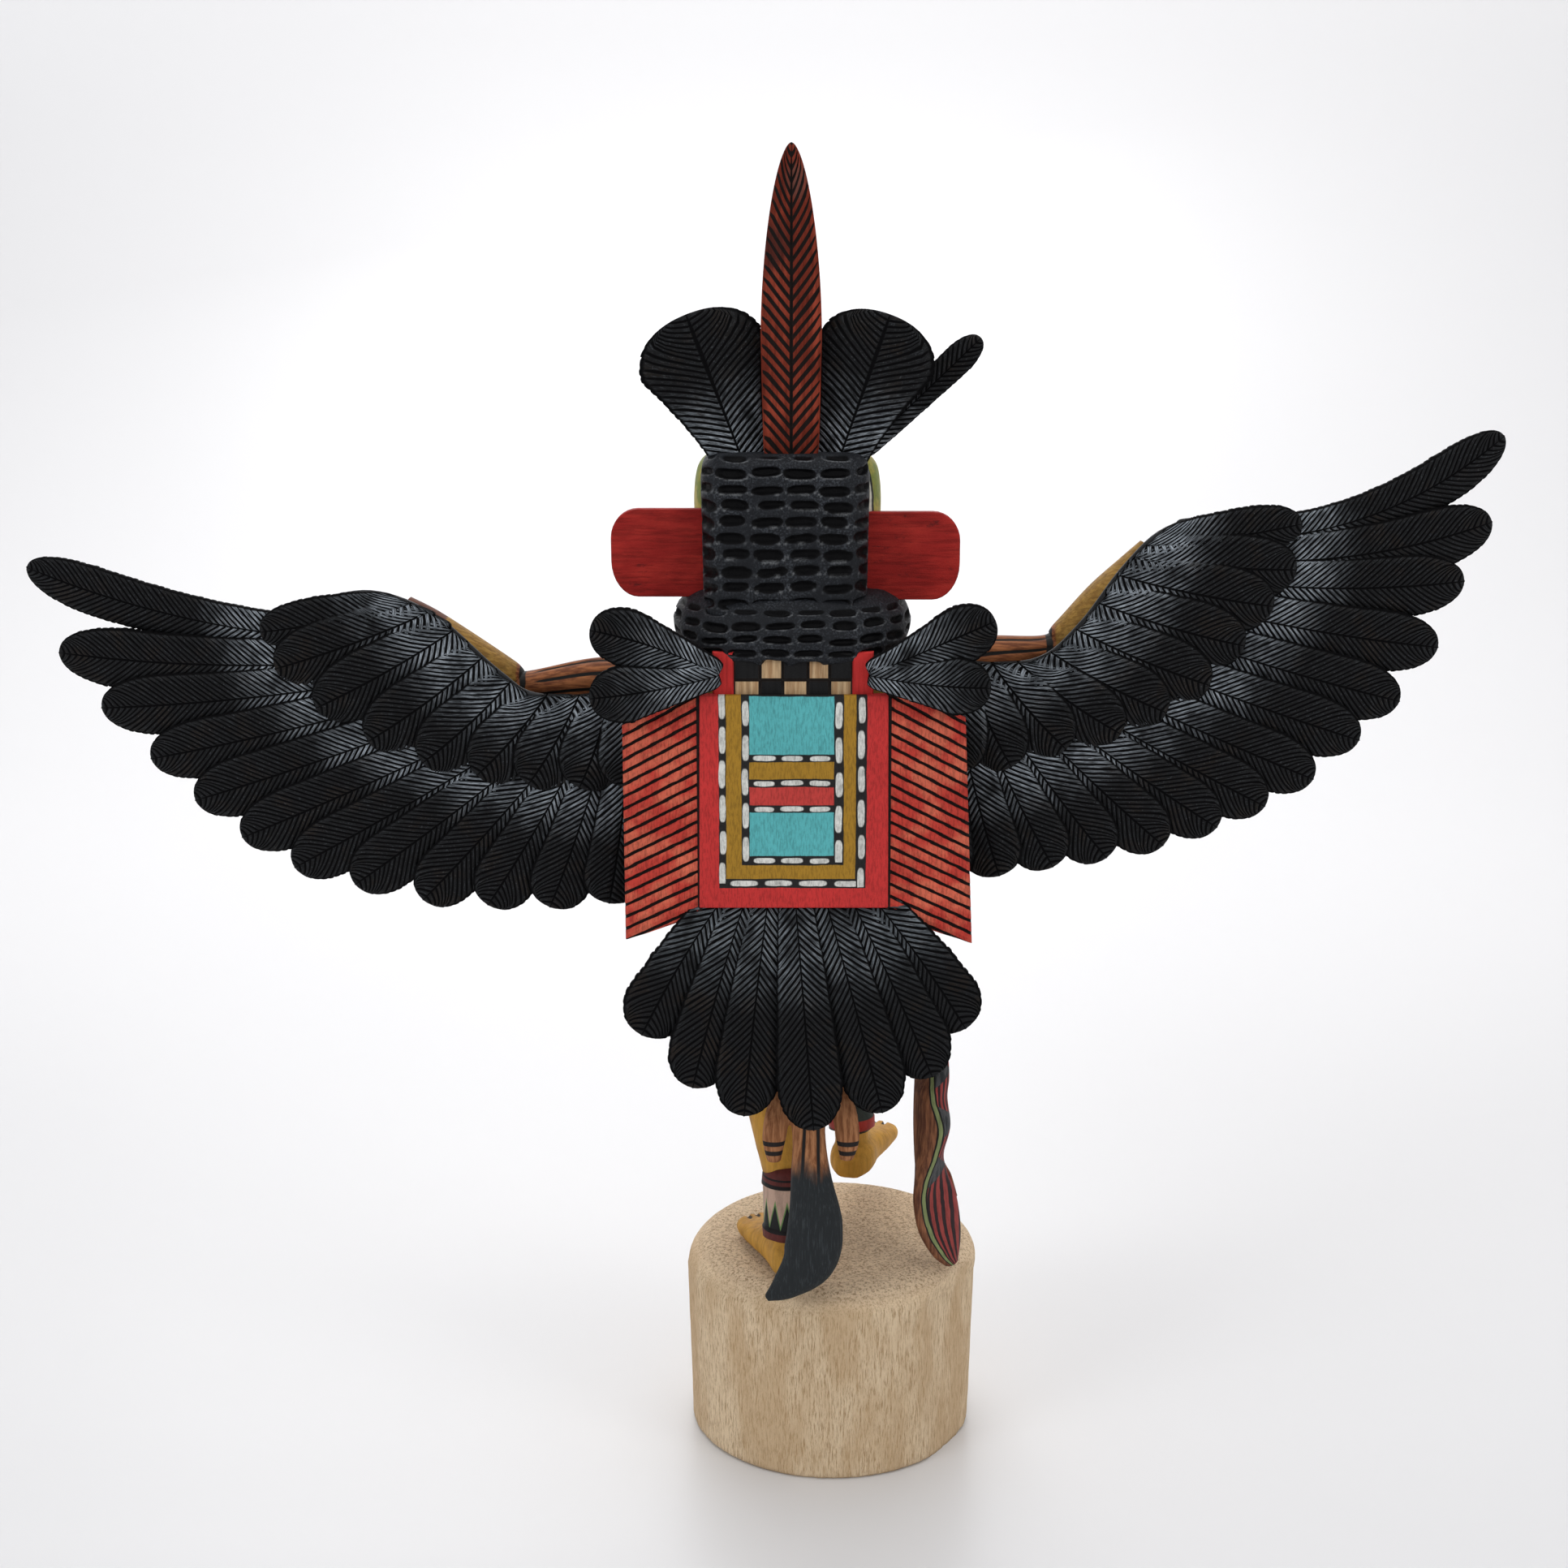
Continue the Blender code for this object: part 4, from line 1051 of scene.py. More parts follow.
def feather_paint(name, black, brush, worn):
    """Black paint, with painted shade in the cuts and round the edges, and a pale dry brush on the ridges
    where the light is 1.
    """
    finish, tree, place = start_finish(name, 0.42, 0.09)
    strand = add(tree, "ShaderNodeAttribute", {}, "Vector", attribute_name="strand")
    streaks = noise_at(strand.times((2.6, 0.35, 3.0)), 1.0, 4.0, 0.7)
    patches = noise_at(place, 110.0, 3.0)
    flecks = noise_at(place, 1700.0, 3.0)
    cut = read(tree, "cut")
    ridge = cut.below(0.0, 0.35)
    dry = read(tree, "light") * patches.ramp(0.22, 0.66) * (0.1 + streaks.ramp(0.36, 0.68)) * ridge
    dry = dry + ridge * flecks.ramp(0.58, 0.72) * 0.07 + ridge * streaks.ramp(0.5, 0.7) * 0.06
    tone = mixed(patches.ramp(0.5, 0.68) * ridge, black, worn)
    edge = read(tree, "edge")
    # painted shade: the barb cuts, the shaft line and the feather edges go darker than the black paint
    dark = cut.ramp(0.1, 0.5).at_least(edge.below(0.022, 0.05)).at_least(edge.ramp(0.9, 0.96))
    tone = mixed(dry, tone, brush)
    tone = mixed(dark, tone, (0.0022, 0.0022, 0.0026, 1))
    end_finish(tree, tone, flecks * 0.5 + streaks * 0.5, 0.00016, 0.5 + dark * 0.4 - dry * 0.1)
    return finish


BLACK = (0.0088, 0.0091, 0.0098, 1)
black_feather = feather_paint("black feather paint", BLACK, (0.42, 0.47, 0.52, 1), (0.014, 0.011, 0.009, 1))


def curve(points, t):
    """A smooth curve through a few points, from t = 0 to 1."""
    spans = len(points) - 1
    i = min(int(t * spans), spans - 1)
    f = t * spans - i
    p1, p2 = Vector(points[i]), Vector(points[i + 1])
    p0 = Vector(points[i - 1]) if i else p1 * 2 - p2
    p3 = Vector(points[i + 2]) if i + 2 <= spans else p2 * 2 - p1
    return span(p1, p2, (p2 - p0) * 0.5, (p3 - p1) * 0.5, f)


WING_SURFACE_Y = 23
WING_SWEEP = 16
WING_HIGH = 205
FLIGHT_WIDTH, OUTER_FLIGHT_WIDTH = 21.0, 17.0
COVERT_WIDTH, OUTER_COVERT_WIDTH = 23.0, 18.0
SHINGLE = math.tan(math.radians(7))


def carve_wing(name, side, tips, roots, coverts, covert_roots, edge, first_bow, node):
    feathers = []
    last = len(tips) - 1
    for i, tip in enumerate(tips):
        share = i / last
        root = curve(roots, share)
        bow = -first_bow * (1 - share) ** 8 - 1.5
        width = FLIGHT_WIDTH if i else OUTER_FLIGHT_WIDTH
        glow = min(
            (k / 40 for k in range(41)),
            key=lambda a: min((root.lerp(Vector(tip), a) - curve(coverts, c / 60)).length for c in range(61)),
        )
        feathers.append((root, tip, width, bow, FLIGHT, 0.0, SHINGLE, glow + 0.01, 22.0))
    last = len(coverts) - 1
    for i, tip in enumerate(coverts):
        width = COVERT_WIDTH if i else OUTER_COVERT_WIDTH
        tip = Vector(tip)
        to_root = (curve(covert_roots, i / last) - tip).normalized()
        k = min(range(1, 120), key=lambda k: (curve(edge, k / 120) - tip).normalized() @ to_root * -1)
        along_edge = (curve(edge, (k + 1) / 120) - curve(edge, (k - 1) / 120)).normalized()
        root = curve(edge, k / 120) + to_root * 0.6
        root_cut = (along_edge @ -to_root) / (along_edge @ Vector((to_root.y, -to_root.x)))
        root = (root.x, root.y, max(-1.3, min(1.3, root_cut)))
        feathers.append((root, tip, width, -2.0, COVERT, 2.2, SHINGLE, 0.12, 24.0))
    sizes = {"Side": side, "Sweep": WING_SWEEP, "Start": (0, WING_SURFACE_Y, WING_HIGH)}
    wing = carve_feathers(name, feathers, black_feather, **sizes)
    rim = []
    for i in range(40):
        out, up = curve(edge, i / 39)
        y = WING_SURFACE_Y - WING_SWEEP * (max(out - SWEEP_START, 0) / SWEEP_LENGTH) ** 2 + 2.2
        thin = min(1.0, 0.35 + i / 6, 0.35 + (39 - i) / 6)
        rim.append((side * out, y, WING_HIGH + up - 2.4, 2.8 * thin, 2.1 * thin))
    edge_piece = mesh_piece(node + "_edge", *skin(limb_rows(rim, 12, (0, 0, 1))))
    edge_piece.data.materials.append(plain_black)
    for piece in (wing, edge_piece):
        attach(piece, "root")
    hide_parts(node)


plain_black, tree, place = start_finish("plain black paint", 0.5, 0.12)
end_brushed(tree, place, (0.02, 0.021, 0.023, 1), (500, 500, 500), 0.3, 0.5, 0.0002)

left_tips = [
    (254.5, 37), (245.5, 8.5), (232, -10), (216, -27), (201.5, -41), (186, -53.5),
    (168.5, -63.5), (148, -69), (125, -74), (103, -75.5), (82, -76), (62, -74.5), (46, -72),
]
left_coverts = [
    (175.5, 17.2), (171, 5), (158, -8), (141, -19), (123, -26), (105, -30),
    (88, -33), (71, -34), (55, -34),
]
carve_wing(
    "left_wing", 1, left_tips, [(128, 14.5), (112, 0), (92, -18), (72, -24), (46, -24)], left_coverts,
    [(132, 26), (120, 19), (103, 6), (85, -4), (67, -5), (50, -5)],
    [(172, 24), (152, 29), (136, 30.5), (118, 23), (98, 5), (84, -3), (52, -3)], 11, "wing_left",
)
right_tips = [
    (231.5, 80.5), (229.5, 52.5), (221.5, 33), (214, 11), (202, -7), (189, -20), (174, -33),
    (158, -42), (142, -49), (124, -55), (105, -59), (87, -62), (69, -65), (51, -66),
]
right_coverts = [
    (165, 53), (164, 38), (157, 26), (148, 13), (137, 0), (123, -9), (108, -16),
    (90, -21), (72, -27), (54, -29),
]
carve_wing(
    "right_wing", -1, right_tips, [(124, 50), (110, 30), (88, 2), (70, -10), (48, -14)], right_coverts,
    [(119, 47), (108, 37.5), (96, 21.5), (81, 9), (64, 6), (48, 5)],
    [(160, 55), (141, 55.5), (122, 52), (109, 40), (95, 21), (80, 9), (52, 7)], 24, "wing_right",
)

# The tail: seven more carved feathers that fan out below the tablet, the middle one laid over those
# on either side. They lean back as they fall, and their barbs are painted like those of the wings.
TAIL_TOP = 133.7
tail_roots = [(21, 6), (14, 8), (7.5, 9), (0, 9), (-8.5, 9), (-16, 8), (-22.5, 7)]
tail_tips = [(50, -40), (33.2, -56.3), (16.3, -65), (-6.5, -69), (-29, -64), (-45.5, -53), (-56.5, -38)]
FAN = (0.42, 0.8, 0.8, 2.2)
worn_feather = feather_paint("worn tail paint", BLACK, (0.21, 0.24, 0.265, 1), (0.0155, 0.0115, 0.009, 1))
tail_feathers = []
for i, (root, tip) in enumerate(zip(tail_roots, tail_tips)):
    lay = SHINGLE if i < 3 else -SHINGLE
    lift = 0.0
    if i == 3:
        lay, lift = 0.0, 1.2
    tail_feathers.append((root, tip, 22.0, 2.4 - 0.8 * i, FAN, lift, lay, 0.3, 22.0))
sizes = {"Start": (0, 37.2, TAIL_TOP), "Lean": -1 / 3, "Ragged edge": 0.03, "Root tuck": 3.2}
tail = carve_feathers("tail_feathers", tail_feathers, worn_feather, **sizes)
put_on(tail, worn_feather)
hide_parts("tail_fan")

# The tablet: a thin board pegged to the back, sanded flat and painted by hand in a stepped pattern
# of framed bands, with white dashes on the black lines. Its narrower header is chequered.
TABLET_LOW = 134
TABLET_HIGH = 205.2
TABLET_FRONT = 38
TABLET_THICK = 4.5


def board(name, corners, front, thick, edge=0.5):
    """A flat board from its outline, its arrises rubbed round."""
    points = [on_doll(x, front, z) for x, z in corners] + [on_doll(x, front + thick, z) for x, z in corners]
    count = len(corners)
    faces = [tuple(range(count)), tuple(reversed(range(count, 2 * count)))]
    faces += [(i, i + count, (i + 1) % count + count, (i + 1) % count) for i in range(count)]
    piece = mesh_piece(name, points, faces)
    rubbed = piece.modifiers.new("Rubbed arrises", "BEVEL")
    rubbed.width = edge * MM
    rubbed.segments = 3
    rubbed.harden_normals = True
    plain_mesh(piece)
    return piece


tablet_panel = board("tablet_panel", [
    (31, TABLET_LOW), (-31, TABLET_LOW), (-30.4, TABLET_HIGH), (30.4, TABLET_HIGH),
], TABLET_FRONT, TABLET_THICK)

HEADER_CUTS = (19.4, 10.9, 3.6, -4.5, -11.5, -18.8)
HEADER_SQUARES = (HEADER_CUTS[-1], HEADER_CUTS[0])
HEADER_LINE = 209.9
KNIFE_DEPTH = 0.55


def header_board():
    """The header's back face, with a knife line round every painted square."""
    across = [26.2, 25.7]
    for cut in HEADER_CUTS:
        across += [cut + 0.45, cut + 0.15, cut - 0.15, cut - 0.45]
    across += [-25.2, -25.65]
    upward = [204.8, 209.45, 209.75, 210.05, 210.35, 215.3, 218.6, 219]
    back = 40.4
    rows = []
    for z in upward:
        row = []
        for x in across:
            deep = 0.0
            if any(abs(x - cut) < 0.2 for cut in HEADER_CUTS) and z > 205:
                deep = KNIFE_DEPTH
            if abs(z - HEADER_LINE) < 0.2 and -18.9 < x < 19.5:
                deep = KNIFE_DEPTH
            if x in (across[0], across[-1]) or z == upward[-1]:
                deep = 0.5
            row.append(on_doll(x, back - deep, z))
        rows.append(row)
    points, faces = skin(rows, closed=False)
    count = len(across)
    rim = list(range(count)) + [r * count + count - 1 for r in range(1, len(rows))]
    rim += [(len(rows) - 1) * count + i for i in range(count - 2, -1, -1)]
    rim += [r * count for r in range(len(rows) - 2, 0, -1)]
    first = len(points)
    points += [(points[i][0], 38 * MM, points[i][2]) for i in rim]
    for i in range(len(rim)):
        j = (i + 1) % len(rim)
        faces.append((rim[i], first + i, first + j, rim[j]))
    faces.append(tuple(range(first, first + len(rim))))
    return mesh_piece("tablet_header", points, faces, smooth=False)


tablet_header = header_board()

tablet_paint, tree, place = start_finish("painted tablet", 0.62, 0.2)
x, y, z = off_axis(place)
drift = noise_at(place, 70.0, 2.0) - 0.5
shake = noise_at(place, 600.0, 2.0) - 0.5
x = x + drift * 0.9 + shake * 0.25
z = z + (noise_at(place.moved((0.3, 0, 0)), 70.0, 2.0) - 0.5) * 0.9 + shake * 0.25


def between(value, low, high, soft=0.12):
    return value.ramp(low - soft, low + soft) * value.below(high - soft, high + soft)


def dashes(way, across, middle, pitch, start, width, seed):
    """Rounded white strokes along a black line."""
    count = ((way - start) / pitch).whole()
    chance = add(tree, "ShaderNodeTexWhiteNoise", {1: count + seed}, 0, noise_dimensions="1D")
    along = ((way - start) / pitch - count - 0.5) * pitch / (pitch * (0.36 + chance * 0.06))
    side = (across - middle - (chance - 0.5) * 0.3) / (width * 0.5)
    shape = (along.size().power(4.0) + side.size().power(3.0)).power(0.28)
    return shape.below(0.88, 1.04)


RED = (0.60, 0.036, 0.034, 1)
OCHRE = (0.41, 0.22, 0.022, 1)
TURQUOISE = (0.11, 0.48, 0.50, 1)
INK = (0.017, 0.016, 0.016, 1)
WHITE = (0.80, 0.80, 0.75, 1)
outer = between(x, -23.6, 24.4) * z.over(140.9)
inner_ochre = between(x, -20.1, 22.0) * z.ramp(143.9, 144.1)
inner = between(x, -16.2, 17.0) * z.ramp(148.5, 148.7)
centre = between(x, -13.0, 14.4)
colour = mixed(outer * z.ramp(140.8, 141.0), RED, INK)
colour = coated(
    colour,
    (inner_ochre, OCHRE),
    (inner, INK),
    (centre * between(z, 151.7, 166.4), TURQUOISE),
    (centre * between(z, 168.9, 174.9), (0.58, 0.055, 0.046, 1)),
    (centre * between(z, 177.6, 183.2), OCHRE),
    (centre * between(z, 185.7, 204.9), TURQUOISE),
)
white = dashes(z, x, 23.2, 11.4, 139.2, 2.2, 3.0) * z.over(142.5)
white = white.at_least(dashes(z, x, -21.9, 11.4, 137.6, 2.3, 11.0) * z.over(141.2))
white = white.at_least(dashes(z, x, 15.7, 11.3, 148.4, 2.2, 23.0) * z.over(149.5))
white = white.at_least(dashes(z, x, -14.6, 11.5, 146.9, 2.4, 31.0) * z.over(149.5))
for level, seed in ((184.4, 41.0), (176.2, 53.0), (167.6, 61.0), (150.1, 71.0)):
    white = white.at_least(dashes(x, z, level, 9.0, -12.9, 1.8, seed) * centre)
white = white.at_least(dashes(x, z, 142.4, 11.2, -23.0, 2.0, 83.0) * between(x, -20.4, 22.0))
colour = mixed(white * (0.9 + shake * 0.9), colour, WHITE)
end_brushed(tree, place, colour, (1900, 1900, 420), 0.3, 0.14, 0.0003)
put_on(tablet_panel, tablet_paint)
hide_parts("back_tablet")

header_paint, tree, place = start_finish("chequered header", 0.6, 0.12)
x, y, z = off_axis(place)
light = between(x, 10.9, 19.4).at_least(between(x, -4.5, 3.6)).at_least(between(x, -18.8, -11.5))
row = z.below(209.8, 210.0)
light = (light - (1.0 - row)).size() * between(x, *HEADER_SQUARES)
grain = noise_at(place.times((1, 1, 0.1)), 900.0, 3.0).ramp(0.35, 0.65)
wood = mixed(grain, (0.40, 0.24, 0.12, 1), (0.60, 0.42, 0.24, 1))
colour = mixed(light, (0.0115, 0.0115, 0.012, 1), wood)
lines = (z - HEADER_LINE).size()
for cut in HEADER_CUTS:
    lines = lines.at_most((x - cut).size())
colour = mixed(lines.below(0.45, 0.65) * between(x, -19.2, 19.8), colour, (0.02, 0.016, 0.014, 1))
colour = mixed(between(x, *HEADER_SQUARES), RED, colour)
end_brushed(tree, place, colour, (850, 850, 70), 0.25, 0.16, 0.0002)
put_on(tablet_header, header_paint)

# The fringes: a thin board on either side of the tablet, painted salmon red, with deep knife lines
# that droop outwards and are picked out in black, and a painted shadow down the edge by the tablet.
def groove_rule():
    """Geometry Nodes that shape a block into a board with slanting knife lines."""
    tree, ask = start_rule("Grooved board", {
        "Side": 1.0, "Inner": 30.0, "Width": 25.7, "Spread": 0.0, "Low": 131.6, "High": 207.0, "Slope": 0.4,
        "Line slope": 0.5, "Pitch": 4.2, "Depth": 0.9, "Thickness": 3.0, "Front": 38.3, "Swing": 0.12,
        "Paint": None,
    })
    inputs = {"Size": (1, 1, 1), "Vertices X": 30, "Vertices Y": 2, "Vertices Z": 700}
    made = add(tree, "GeometryNodeMeshCube", inputs)
    x, y, z = add(tree, "GeometryNodeInputPosition", {}).parts()
    share = x + 0.5
    rise = z + 0.5
    outer = ask("Width") + ask("Spread") * (1.0 - rise)
    out = share * outer
    foot = ask("Low") - out * ask("Slope")
    head = ask("High") - out * ask("Slope")
    high = foot + (head - foot) * rise
    inputs = {"Vector": place_of(tree, out * 0.12, high * 0.5, ask("Side")), "Scale": 1.0}
    wave = add(tree, "ShaderNodeTexNoise", inputs)
    line = high + out * (ask("Line slope") + rise * 0.08) + (wave - 0.5) * 0.9
    line = (line - ask("Low") - 2.6) / ask("Pitch")
    near = (line - line.work("ROUND")).size() * ask("Pitch")
    deep = near.below(0.28, 0.72)
    inside = share.ramp(0.03, 0.07)
    # painted shadow: a dark strip down the inner edge, where the fringe meets the tablet, goes into the cut
    # mask
    joint_shadow = share.below(0.045, 0.07)
    back = y.over(0.0)
    worn = share.below(0.0, 0.025) + share.ramp(0.975, 1.0) + rise.ramp(0.992, 1.0) + rise.below(0.0, 0.008)
    swell = (1.0 - (near / ask("Pitch") * 2.0).power(2.0)) * -0.25
    off = (ask("Thickness") - deep * inside * ask("Depth") - worn * 0.35 + swell * inside) * back
    final_x = (out + ask("Inner")) * ask("Side") + AXIS_X
    final_y = ask("Front") - out * ask("Swing") + off
    position = place_of(tree, final_x * MM, final_y * MM, (high + FEET) * MM)
    made = stored(made, "cut", (deep * inside).at_least(joint_shadow))
    made = add(tree, "GeometryNodeSetPosition", {"Geometry": made, "Position": position})
    mirrored = (ask("Side") * -1.0).over(0.0)
    made = add(tree, "GeometryNodeFlipFaces", {"Mesh": made, "Selection": mirrored})
    return end_rule(made, ask("Paint"))


GROOVES = groove_rule()
fringe_paint, tree, place = start_finish("salmon fringe paint", 0.66, 0.18)
patch = noise_at(place, 110.0, 3.0)
colour = mixed(patch.ramp(0.38, 0.66), (0.55, 0.05, 0.034, 1), (0.70, 0.15, 0.085, 1))
# black in the knife lines, and painted shadow along the inner edge by the tablet
colour = mixed(read(tree, "cut").ramp(0.12, 0.4), colour, (0.014, 0.008, 0.007, 1))
end_brushed(tree, place, colour, (1500, 1500, 260), 0.36, 0.2, 0.0003)


def fringe(name, side, spread, node):
    piece = placed(name, bpy.data.meshes.new(name))
    carve_by(piece, GROOVES, {"Paint": fringe_paint, "Side": float(side), "Spread": float(spread)})
    put_on(piece, fringe_paint)
    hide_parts(node)


fringe("left_fringe", 1, 0, "fringe_left")
fringe("right_fringe", -1, 3.5, "fringe_right")

# The fox pelt: carved in one with its curling tail, hung by its neck at the back of the belt. It is
# stained orange-brown above, and its tail fades into streaky dark grey.
pelt_path = [
    (-4, 37.6, 122, 8, 3), (-4, 45, 100, 9, 3.5), (-4.5, 49, 78, 8, 3.8), (-5, 52, 60, 5.6, 3.8),
    (-5.8, 54, 44, 6.8, 4.6), (-7.2, 55, 28, 9.2, 5.4), (-5.2, 55.5, 15, 9.2, 5),
    (2.5, 56, 6, 5.2, 3.4), (9.2, 56, 1.2, 1.2, 1),
]
pelt_left = [
    (-1, 47.5, 84, 3.6, 2.4), (4.5, 50, 68, 4.2, 2.6), (6.5, 51, 57, 4, 2.6), (6.5, 51, 48.5, 2.2, 1.8),
]
pelt_right = [
    (-9, 47.5, 84, 3.6, 2.4), (-16, 50, 68, 4.2, 2.6), (-18, 51, 57, 4, 2.6), (-17.5, 51, 49, 2.2, 1.8),
]
pelt = carve_whole("pelt_and_tail", [
    limb(pelt_path, 120, 40),
    limb(pelt_left, 40, 24),
    limb(pelt_right, 40, 24),
], 0.62, 0.12)
pelt_paint, tree, place = start_finish("stained pelt paint", 0.62, 0.12)
x, y, z = off_axis(place)
streak = noise_at(place.times((1.0, 1.0, 0.08)), 900.0, 3.0, 0.65)
broad = noise_at(place.times((1.0, 1.0, 0.2)), 220.0, 3.0, 0.6)
brown = mixed(streak.ramp(0.35, 0.65), (0.20, 0.075, 0.03, 1), (0.42, 0.19, 0.085, 1))
fine = noise_at(place.times((1.0, 1.0, 0.07)), 1900.0, 3.0, 0.65)
grey = mixed(fine.ramp(0.5, 0.7) * 0.5, (0.021, 0.024, 0.026, 1), (0.06, 0.07, 0.076, 1))
middle_line = (x + 5.6 + (z - 50.0) * 0.02).size()
on_tail = middle_line.below(9.0, 9.5)
fading = (z + (broad - 0.5) * 16.0).ramp(44.0, 53.0)
lines = (middle_line - 2.6 - (50.0 - z) * 0.03).size()
brown_lined = mixed(lines.below(0.35, 0.8) * on_tail, brown, (0.016, 0.014, 0.013, 1))
on_leg = middle_line.ramp(6.4, 7.0)
stripes = (z - 55.4).near(0.7, 1.0) + (z - 52.0).near(0.7, 1.0)
brown_lined = mixed(on_leg * stripes.at_most(1.0), brown_lined, (0.02, 0.016, 0.015, 1))
colour = mixed(fading.at_least(on_leg * z.over(46.0)), grey, brown_lined)
end_finish(tree, colour, streak + broad * 0.4, 0.0004)
put_on(pelt, pelt_paint)
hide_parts("fox_pelt")

# The sash: a thin strip whittled from one root, cupped along a ridge and twisted as it falls from
# the hip, with a second end behind it. A green stripe follows the ridge; the reverse is brown.
SASH_THICK = 2.2
SASH_COUNT = 22


def strip(name, rows, count):
    """A cupped strip through rows of height, then the x and y of its outer edge, ridge and inner edge."""
    rings = []
    weave = []
    for station in smooth_stations(rows, count):
        z = station[0]
        outer, ridge, inner = Vector(station[1:3]), Vector(station[3:5]), Vector(station[5:7])
        pull = ridge * 2 - (outer + inner) * 0.5
        ring = []
        for k in range(2 * SASH_COUNT):
            face = k < SASH_COUNT
            s = (k % SASH_COUNT) / (SASH_COUNT - 1)
            s = s if face else 1 - s
            spot = outer * (1 - s) ** 2 + pull * 2 * s * (1 - s) + inner * s**2
            ahead = ((pull - outer) * (1 - s) + (inner - pull) * s).normalized()
            thin = SASH_THICK * 0.5 * (1 - abs(2 * s - 1) ** 8 * 0.8)
            spot += Vector((-ahead.y, ahead.x)) * (thin if face else -thin)
            ring.append(on_doll(spot.x, spot.y, z))
            weave.append((s, 1.0 if face else 0.0, z))
        rings.append(ring)
    piece = mesh_piece(name, *skin(rings))
    leave(piece.data, "weave", weave)
    return piece


sash_fall = [
    (126, -43, 22, -41, 16, -39, 6), (110, -47, 26, -44, 18, -41, 8), (90, -51, 28, -48, 21, -44, 12),
    (72, -53, 28, -48, 29, -42.5, 17), (62, -52.6, 25, -47.8, 31, -41.6, 24),
    (52, -53.2, 24, -50.2, 31.6, -41.4, 26), (42, -51.6, 23, -48.2, 31.8, -41.8, 27),
    (33, -53.2, 22.4, -45.2, 32, -42.5, 28), (25, -56.4, 22, -44.4, 32, -43.2, 29.6),
    (14.5, -58.2, 22.4, -46.8, 32.4, -44.5, 30), (6, -58.2, 24, -51.4, 32.6, -48.4, 30.6),
    (2, -57, 26.4, -54.6, 31.8, -52.6, 31),
]
sash_second = [
    (60, -48, 27, -46.6, 20, -45, 14), (44, -50.5, 25, -48.4, 18, -46, 12),
    (36, -52, 23, -50, 16.6, -47.5, 10.5), (29, -55, 18, -52.6, 13, -50, 7.5),
]
sash_second.append((20.5, -57, 16.5, -56, 12.6, -54.5, 8.5))
sash_face = strip("sash_face", sash_fall, 180)
sash_end = strip("sash_end", sash_second, 80)
sash_paint, tree, place = start_finish("painted sash", 0.6, 0.14)
weave = add(tree, "ShaderNodeAttribute", {}, "Vector", attribute_name="weave")
share, side, high = weave.parts()
wobble = (noise_at(place, 260.0, 2.0) - 0.5) * 0.03
share = share + wobble
streak = noise_at(place.times((1.0, 1.0, 0.1)), 900.0, 3.0, 0.6)
reverse = mixed(streak.ramp(0.35, 0.65), (0.12, 0.046, 0.026, 1), (0.30, 0.125, 0.06, 1))
band = ((share * 9.0 + high * 0.035).work("FRACT") - 0.5).size()
rosy = mixed(band.ramp(0.2, 0.27), (0.03, 0.018, 0.02, 1), (0.31, 0.055, 0.048, 1))
grey = mixed(streak.ramp(0.4, 0.6), (0.03, 0.034, 0.036, 1), (0.08, 0.08, 0.082, 1))
wedge = ((high * 0.055).work("FRACT") - 0.5).size() * 1.4
rosy = mixed((share + wedge).ramp(0.66, 0.69) * high.ramp(28.0, 30.0), rosy, grey)
colour = mixed((share - 0.52).ramp(0.0, 0.02), rosy, reverse)
ridge = (share - 0.5).size()
colour = mixed(ridge.below(0.07, 0.085), colour, (0.013, 0.012, 0.012, 1))
colour = mixed(ridge.below(0.034, 0.048), colour, (0.22, 0.26, 0.11, 1))
colour = mixed(side.ramp(0.3, 0.7), reverse, colour)
end_brushed(tree, place, colour, (900, 900, 160), 0.25, 0.25, 0.0002)
for piece in (sash_face, sash_end):
    put_on(piece, sash_paint)
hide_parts("sash")

# The ears: flat tabs split from a thin board and glued into the sides of the head, their outer
# corners rounded. They are brushed deep red along the grain.
def ear_corners(side, x, low):
    root, out, high = x - 8, x + 30.4, low + 29
    quarter = [math.radians(90 * i / 8) for i in range(9)]
    corners = [(root, low)] + [(out - 9 + 9 * math.sin(a), low + 12 - 12 * math.cos(a)) for a in quarter]
    corners += [(out - 9 + 9 * math.cos(a), high - 9.5 + 9.5 * math.sin(a)) for a in quarter] + [(root, high)]
    return [(side * x, z) for x, z in corners]


ear_paint, tree, place = start_finish("brushed ear red", 0.55, 0.12)
patch = noise_at(place.times((0.4, 1.0, 1.0)), 130.0, 4.0, 0.65)
colour = mixed(patch.ramp(0.4, 0.7), (0.33, 0.018, 0.015, 1), (0.43, 0.03, 0.022, 1))
speck = noise_at(place.times((0.35, 1.0, 1.0)), 420.0, 4.0, 0.7)
colour = mixed(speck.ramp(0.6, 0.72) * 0.8, colour, (0.11, 0.012, 0.012, 1))
end_brushed(tree, place, colour, (80, 900, 900), 0.3, 0.2, 0.0003)
for name, side, x, low in (("left_ear", 1, 29.6, 233), ("right_ear", -1, 24.2, 232)):
    piece = board(name, ear_corners(side, x, low), 12, 4, 0.6)
    put_on(piece, ear_paint)
    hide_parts("ear_left" if side > 0 else "ear_right")

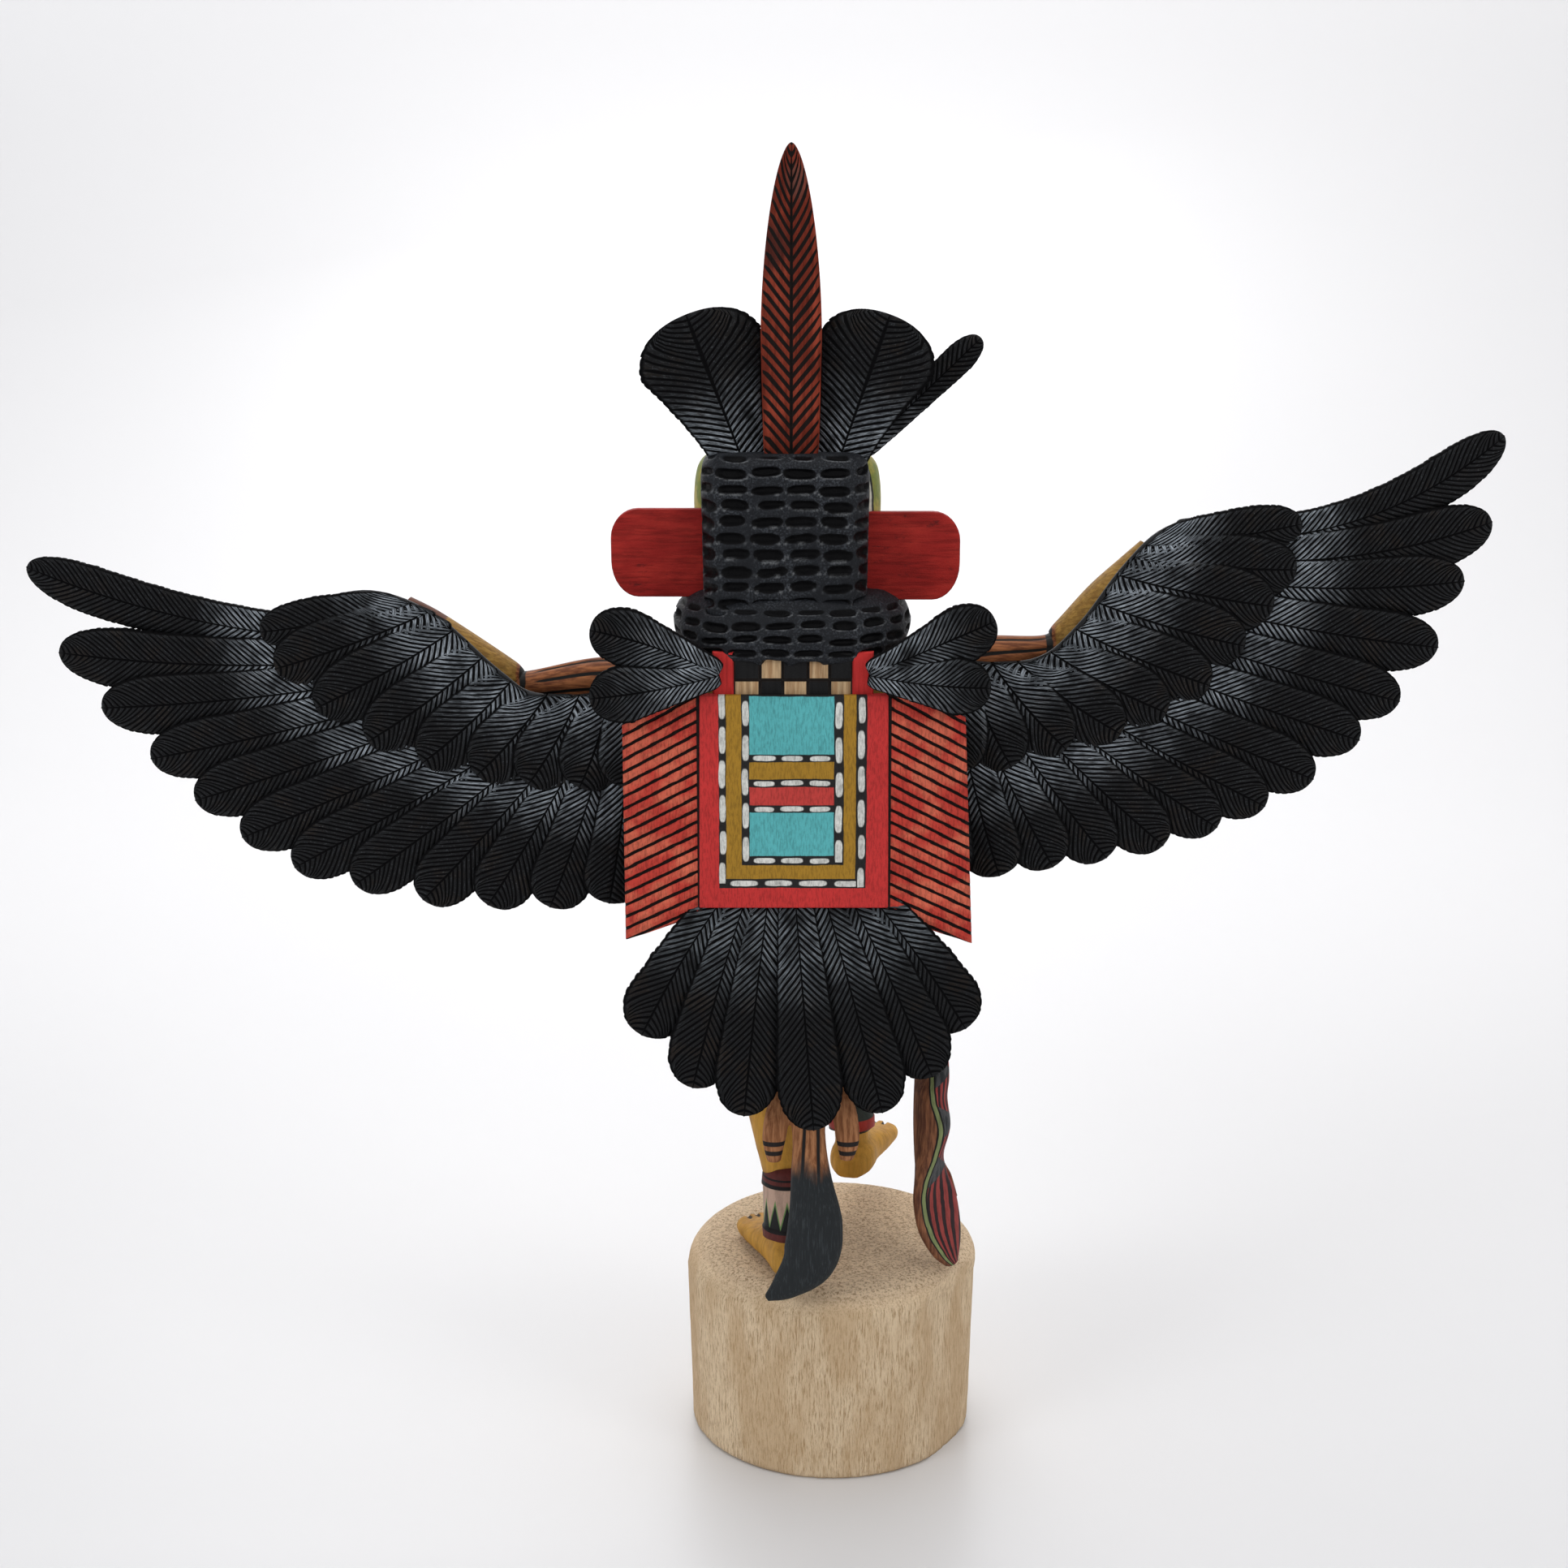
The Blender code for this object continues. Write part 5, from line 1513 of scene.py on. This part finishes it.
# The crest: one tall red-brown feather with black barb lines, two broad black ones spread on either
# side, and a slim one in front, each carved alone and pegged into the top of the head.
def crest(name, root, tip, width, kind, y, turn, node, paint, slot, glow=0.05, fade=30.0, **sizes):
    sizes["Turn"] = math.tan(turn)
    sizes["Start"] = (0, y - 1.5 - math.tan(turn) * root[0], 0)
    feathers = [(root, tip, width, 0.0, kind, 0.0, 0.0, glow, fade)]
    piece = carve_feathers(name, feathers, paint, **sizes)
    put_on(piece, paint)
    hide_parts(node)


red_feather, tree, place = start_finish("red-brown feather paint", 0.6, 0.08)
strand = add(tree, "ShaderNodeAttribute", {}, "Vector", attribute_name="strand")
patch = noise_at(place.times((1.0, 1.0, 0.4)), 100.0, 3.0, 0.6)
colour = mixed(patch.ramp(0.38, 0.68), (0.155, 0.022, 0.011, 1), (0.32, 0.054, 0.028, 1))
x, y, z = off_axis(place)


def stain(x_at, z_at, squash, inner, outer):
    """A worn spot, its edge broken up by the patches."""
    away = ((x - x_at).power(2.0) + ((z - z_at) * squash).power(2.0)).work("SQRT")
    return (away + (patch - 0.5) * 6.0).below(inner, outer)


colour = mixed(stain(6.0, 345.0, 0.45, 2.0, 5.0) * 0.75, colour, (0.035, 0.012, 0.01, 1))
colour = mixed(stain(-1.0, 366.0, 0.6, 1.5, 4.5) * 0.5, colour, (0.12, 0.075, 0.06, 1))
colour = mixed(read(tree, "cut").ramp(0.05, 0.24), colour, (0.012, 0.008, 0.007, 1))
shaft = read(tree, "edge").below(0.045, 0.075)
colour = mixed(shaft, colour, (0.012, 0.008, 0.007, 1))
end_brushed(tree, place, colour, (900, 900, 80), 0.34, 0.16, 0.0003)
crest(
    "crest_red", (0.9, 276), (0.9, 377), 19.4, LANCE, 26, 0.0, "crest_feather_red", red_feather, "red_paint",
    **{"Barb pitch": 4.0, "Barb reach": 0.86, "Crown": 0.7, "Ragged edge": 0.0, "Barb depth": 0.5},
)
broad = {"Barb pitch": 2.0, "Barb slant": 0.66, "Ragged edge": 0.015}
for name, root, tip, width, kind, y_at, turn, sizes in (
    ("left", (16, 277), (34.3, 324.5), 42, PADDLE, 20, 0.1, broad),
    ("right", (-14, 277), (-30.5, 324.5), 39, PADDLE, 20, -0.1, broad),
    ("front", (-22, 279), (-61, 316.5), 10, FLIGHT, 4, 0.0, {}),
):
    node = "crest_feather_" + name
    crest("crest_" + name, root, tip, width, kind, y_at, turn, node, black_feather, "black_paint", **sizes)

# The shoulder feathers: a pair on each side, spread in a V from one peg and laid over the tablet's
# upper corner. They are carved and dry-brushed like the crest.
for name, side, upper, lower, bow, node in (
    ("left_shoulder", 1, (65, 227), (65.5, 205), 3.5, "shoulder_feathers_left"),
    ("right_shoulder", -1, (64, 230), (63, 208.5), 0.0, "shoulder_feathers_right"),
):
    pair = [((24, 212.5), upper, 19, bow, PADDLE, 0.0, 0.0, 0.1, 34.0)]
    pair.append(((24, 212.5), lower, 19, -2.0, PADDLE, 0.8, 0.0, 0.1, 34.0))
    sizes = {"Side": side, "Start": (0, 42.8, 0), "Barb pitch": 1.8, "Barb slant": 1.4}
    piece = carve_feathers(name, pair, black_feather, **sizes)
    put_on(piece, black_feather)
    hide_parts(node)
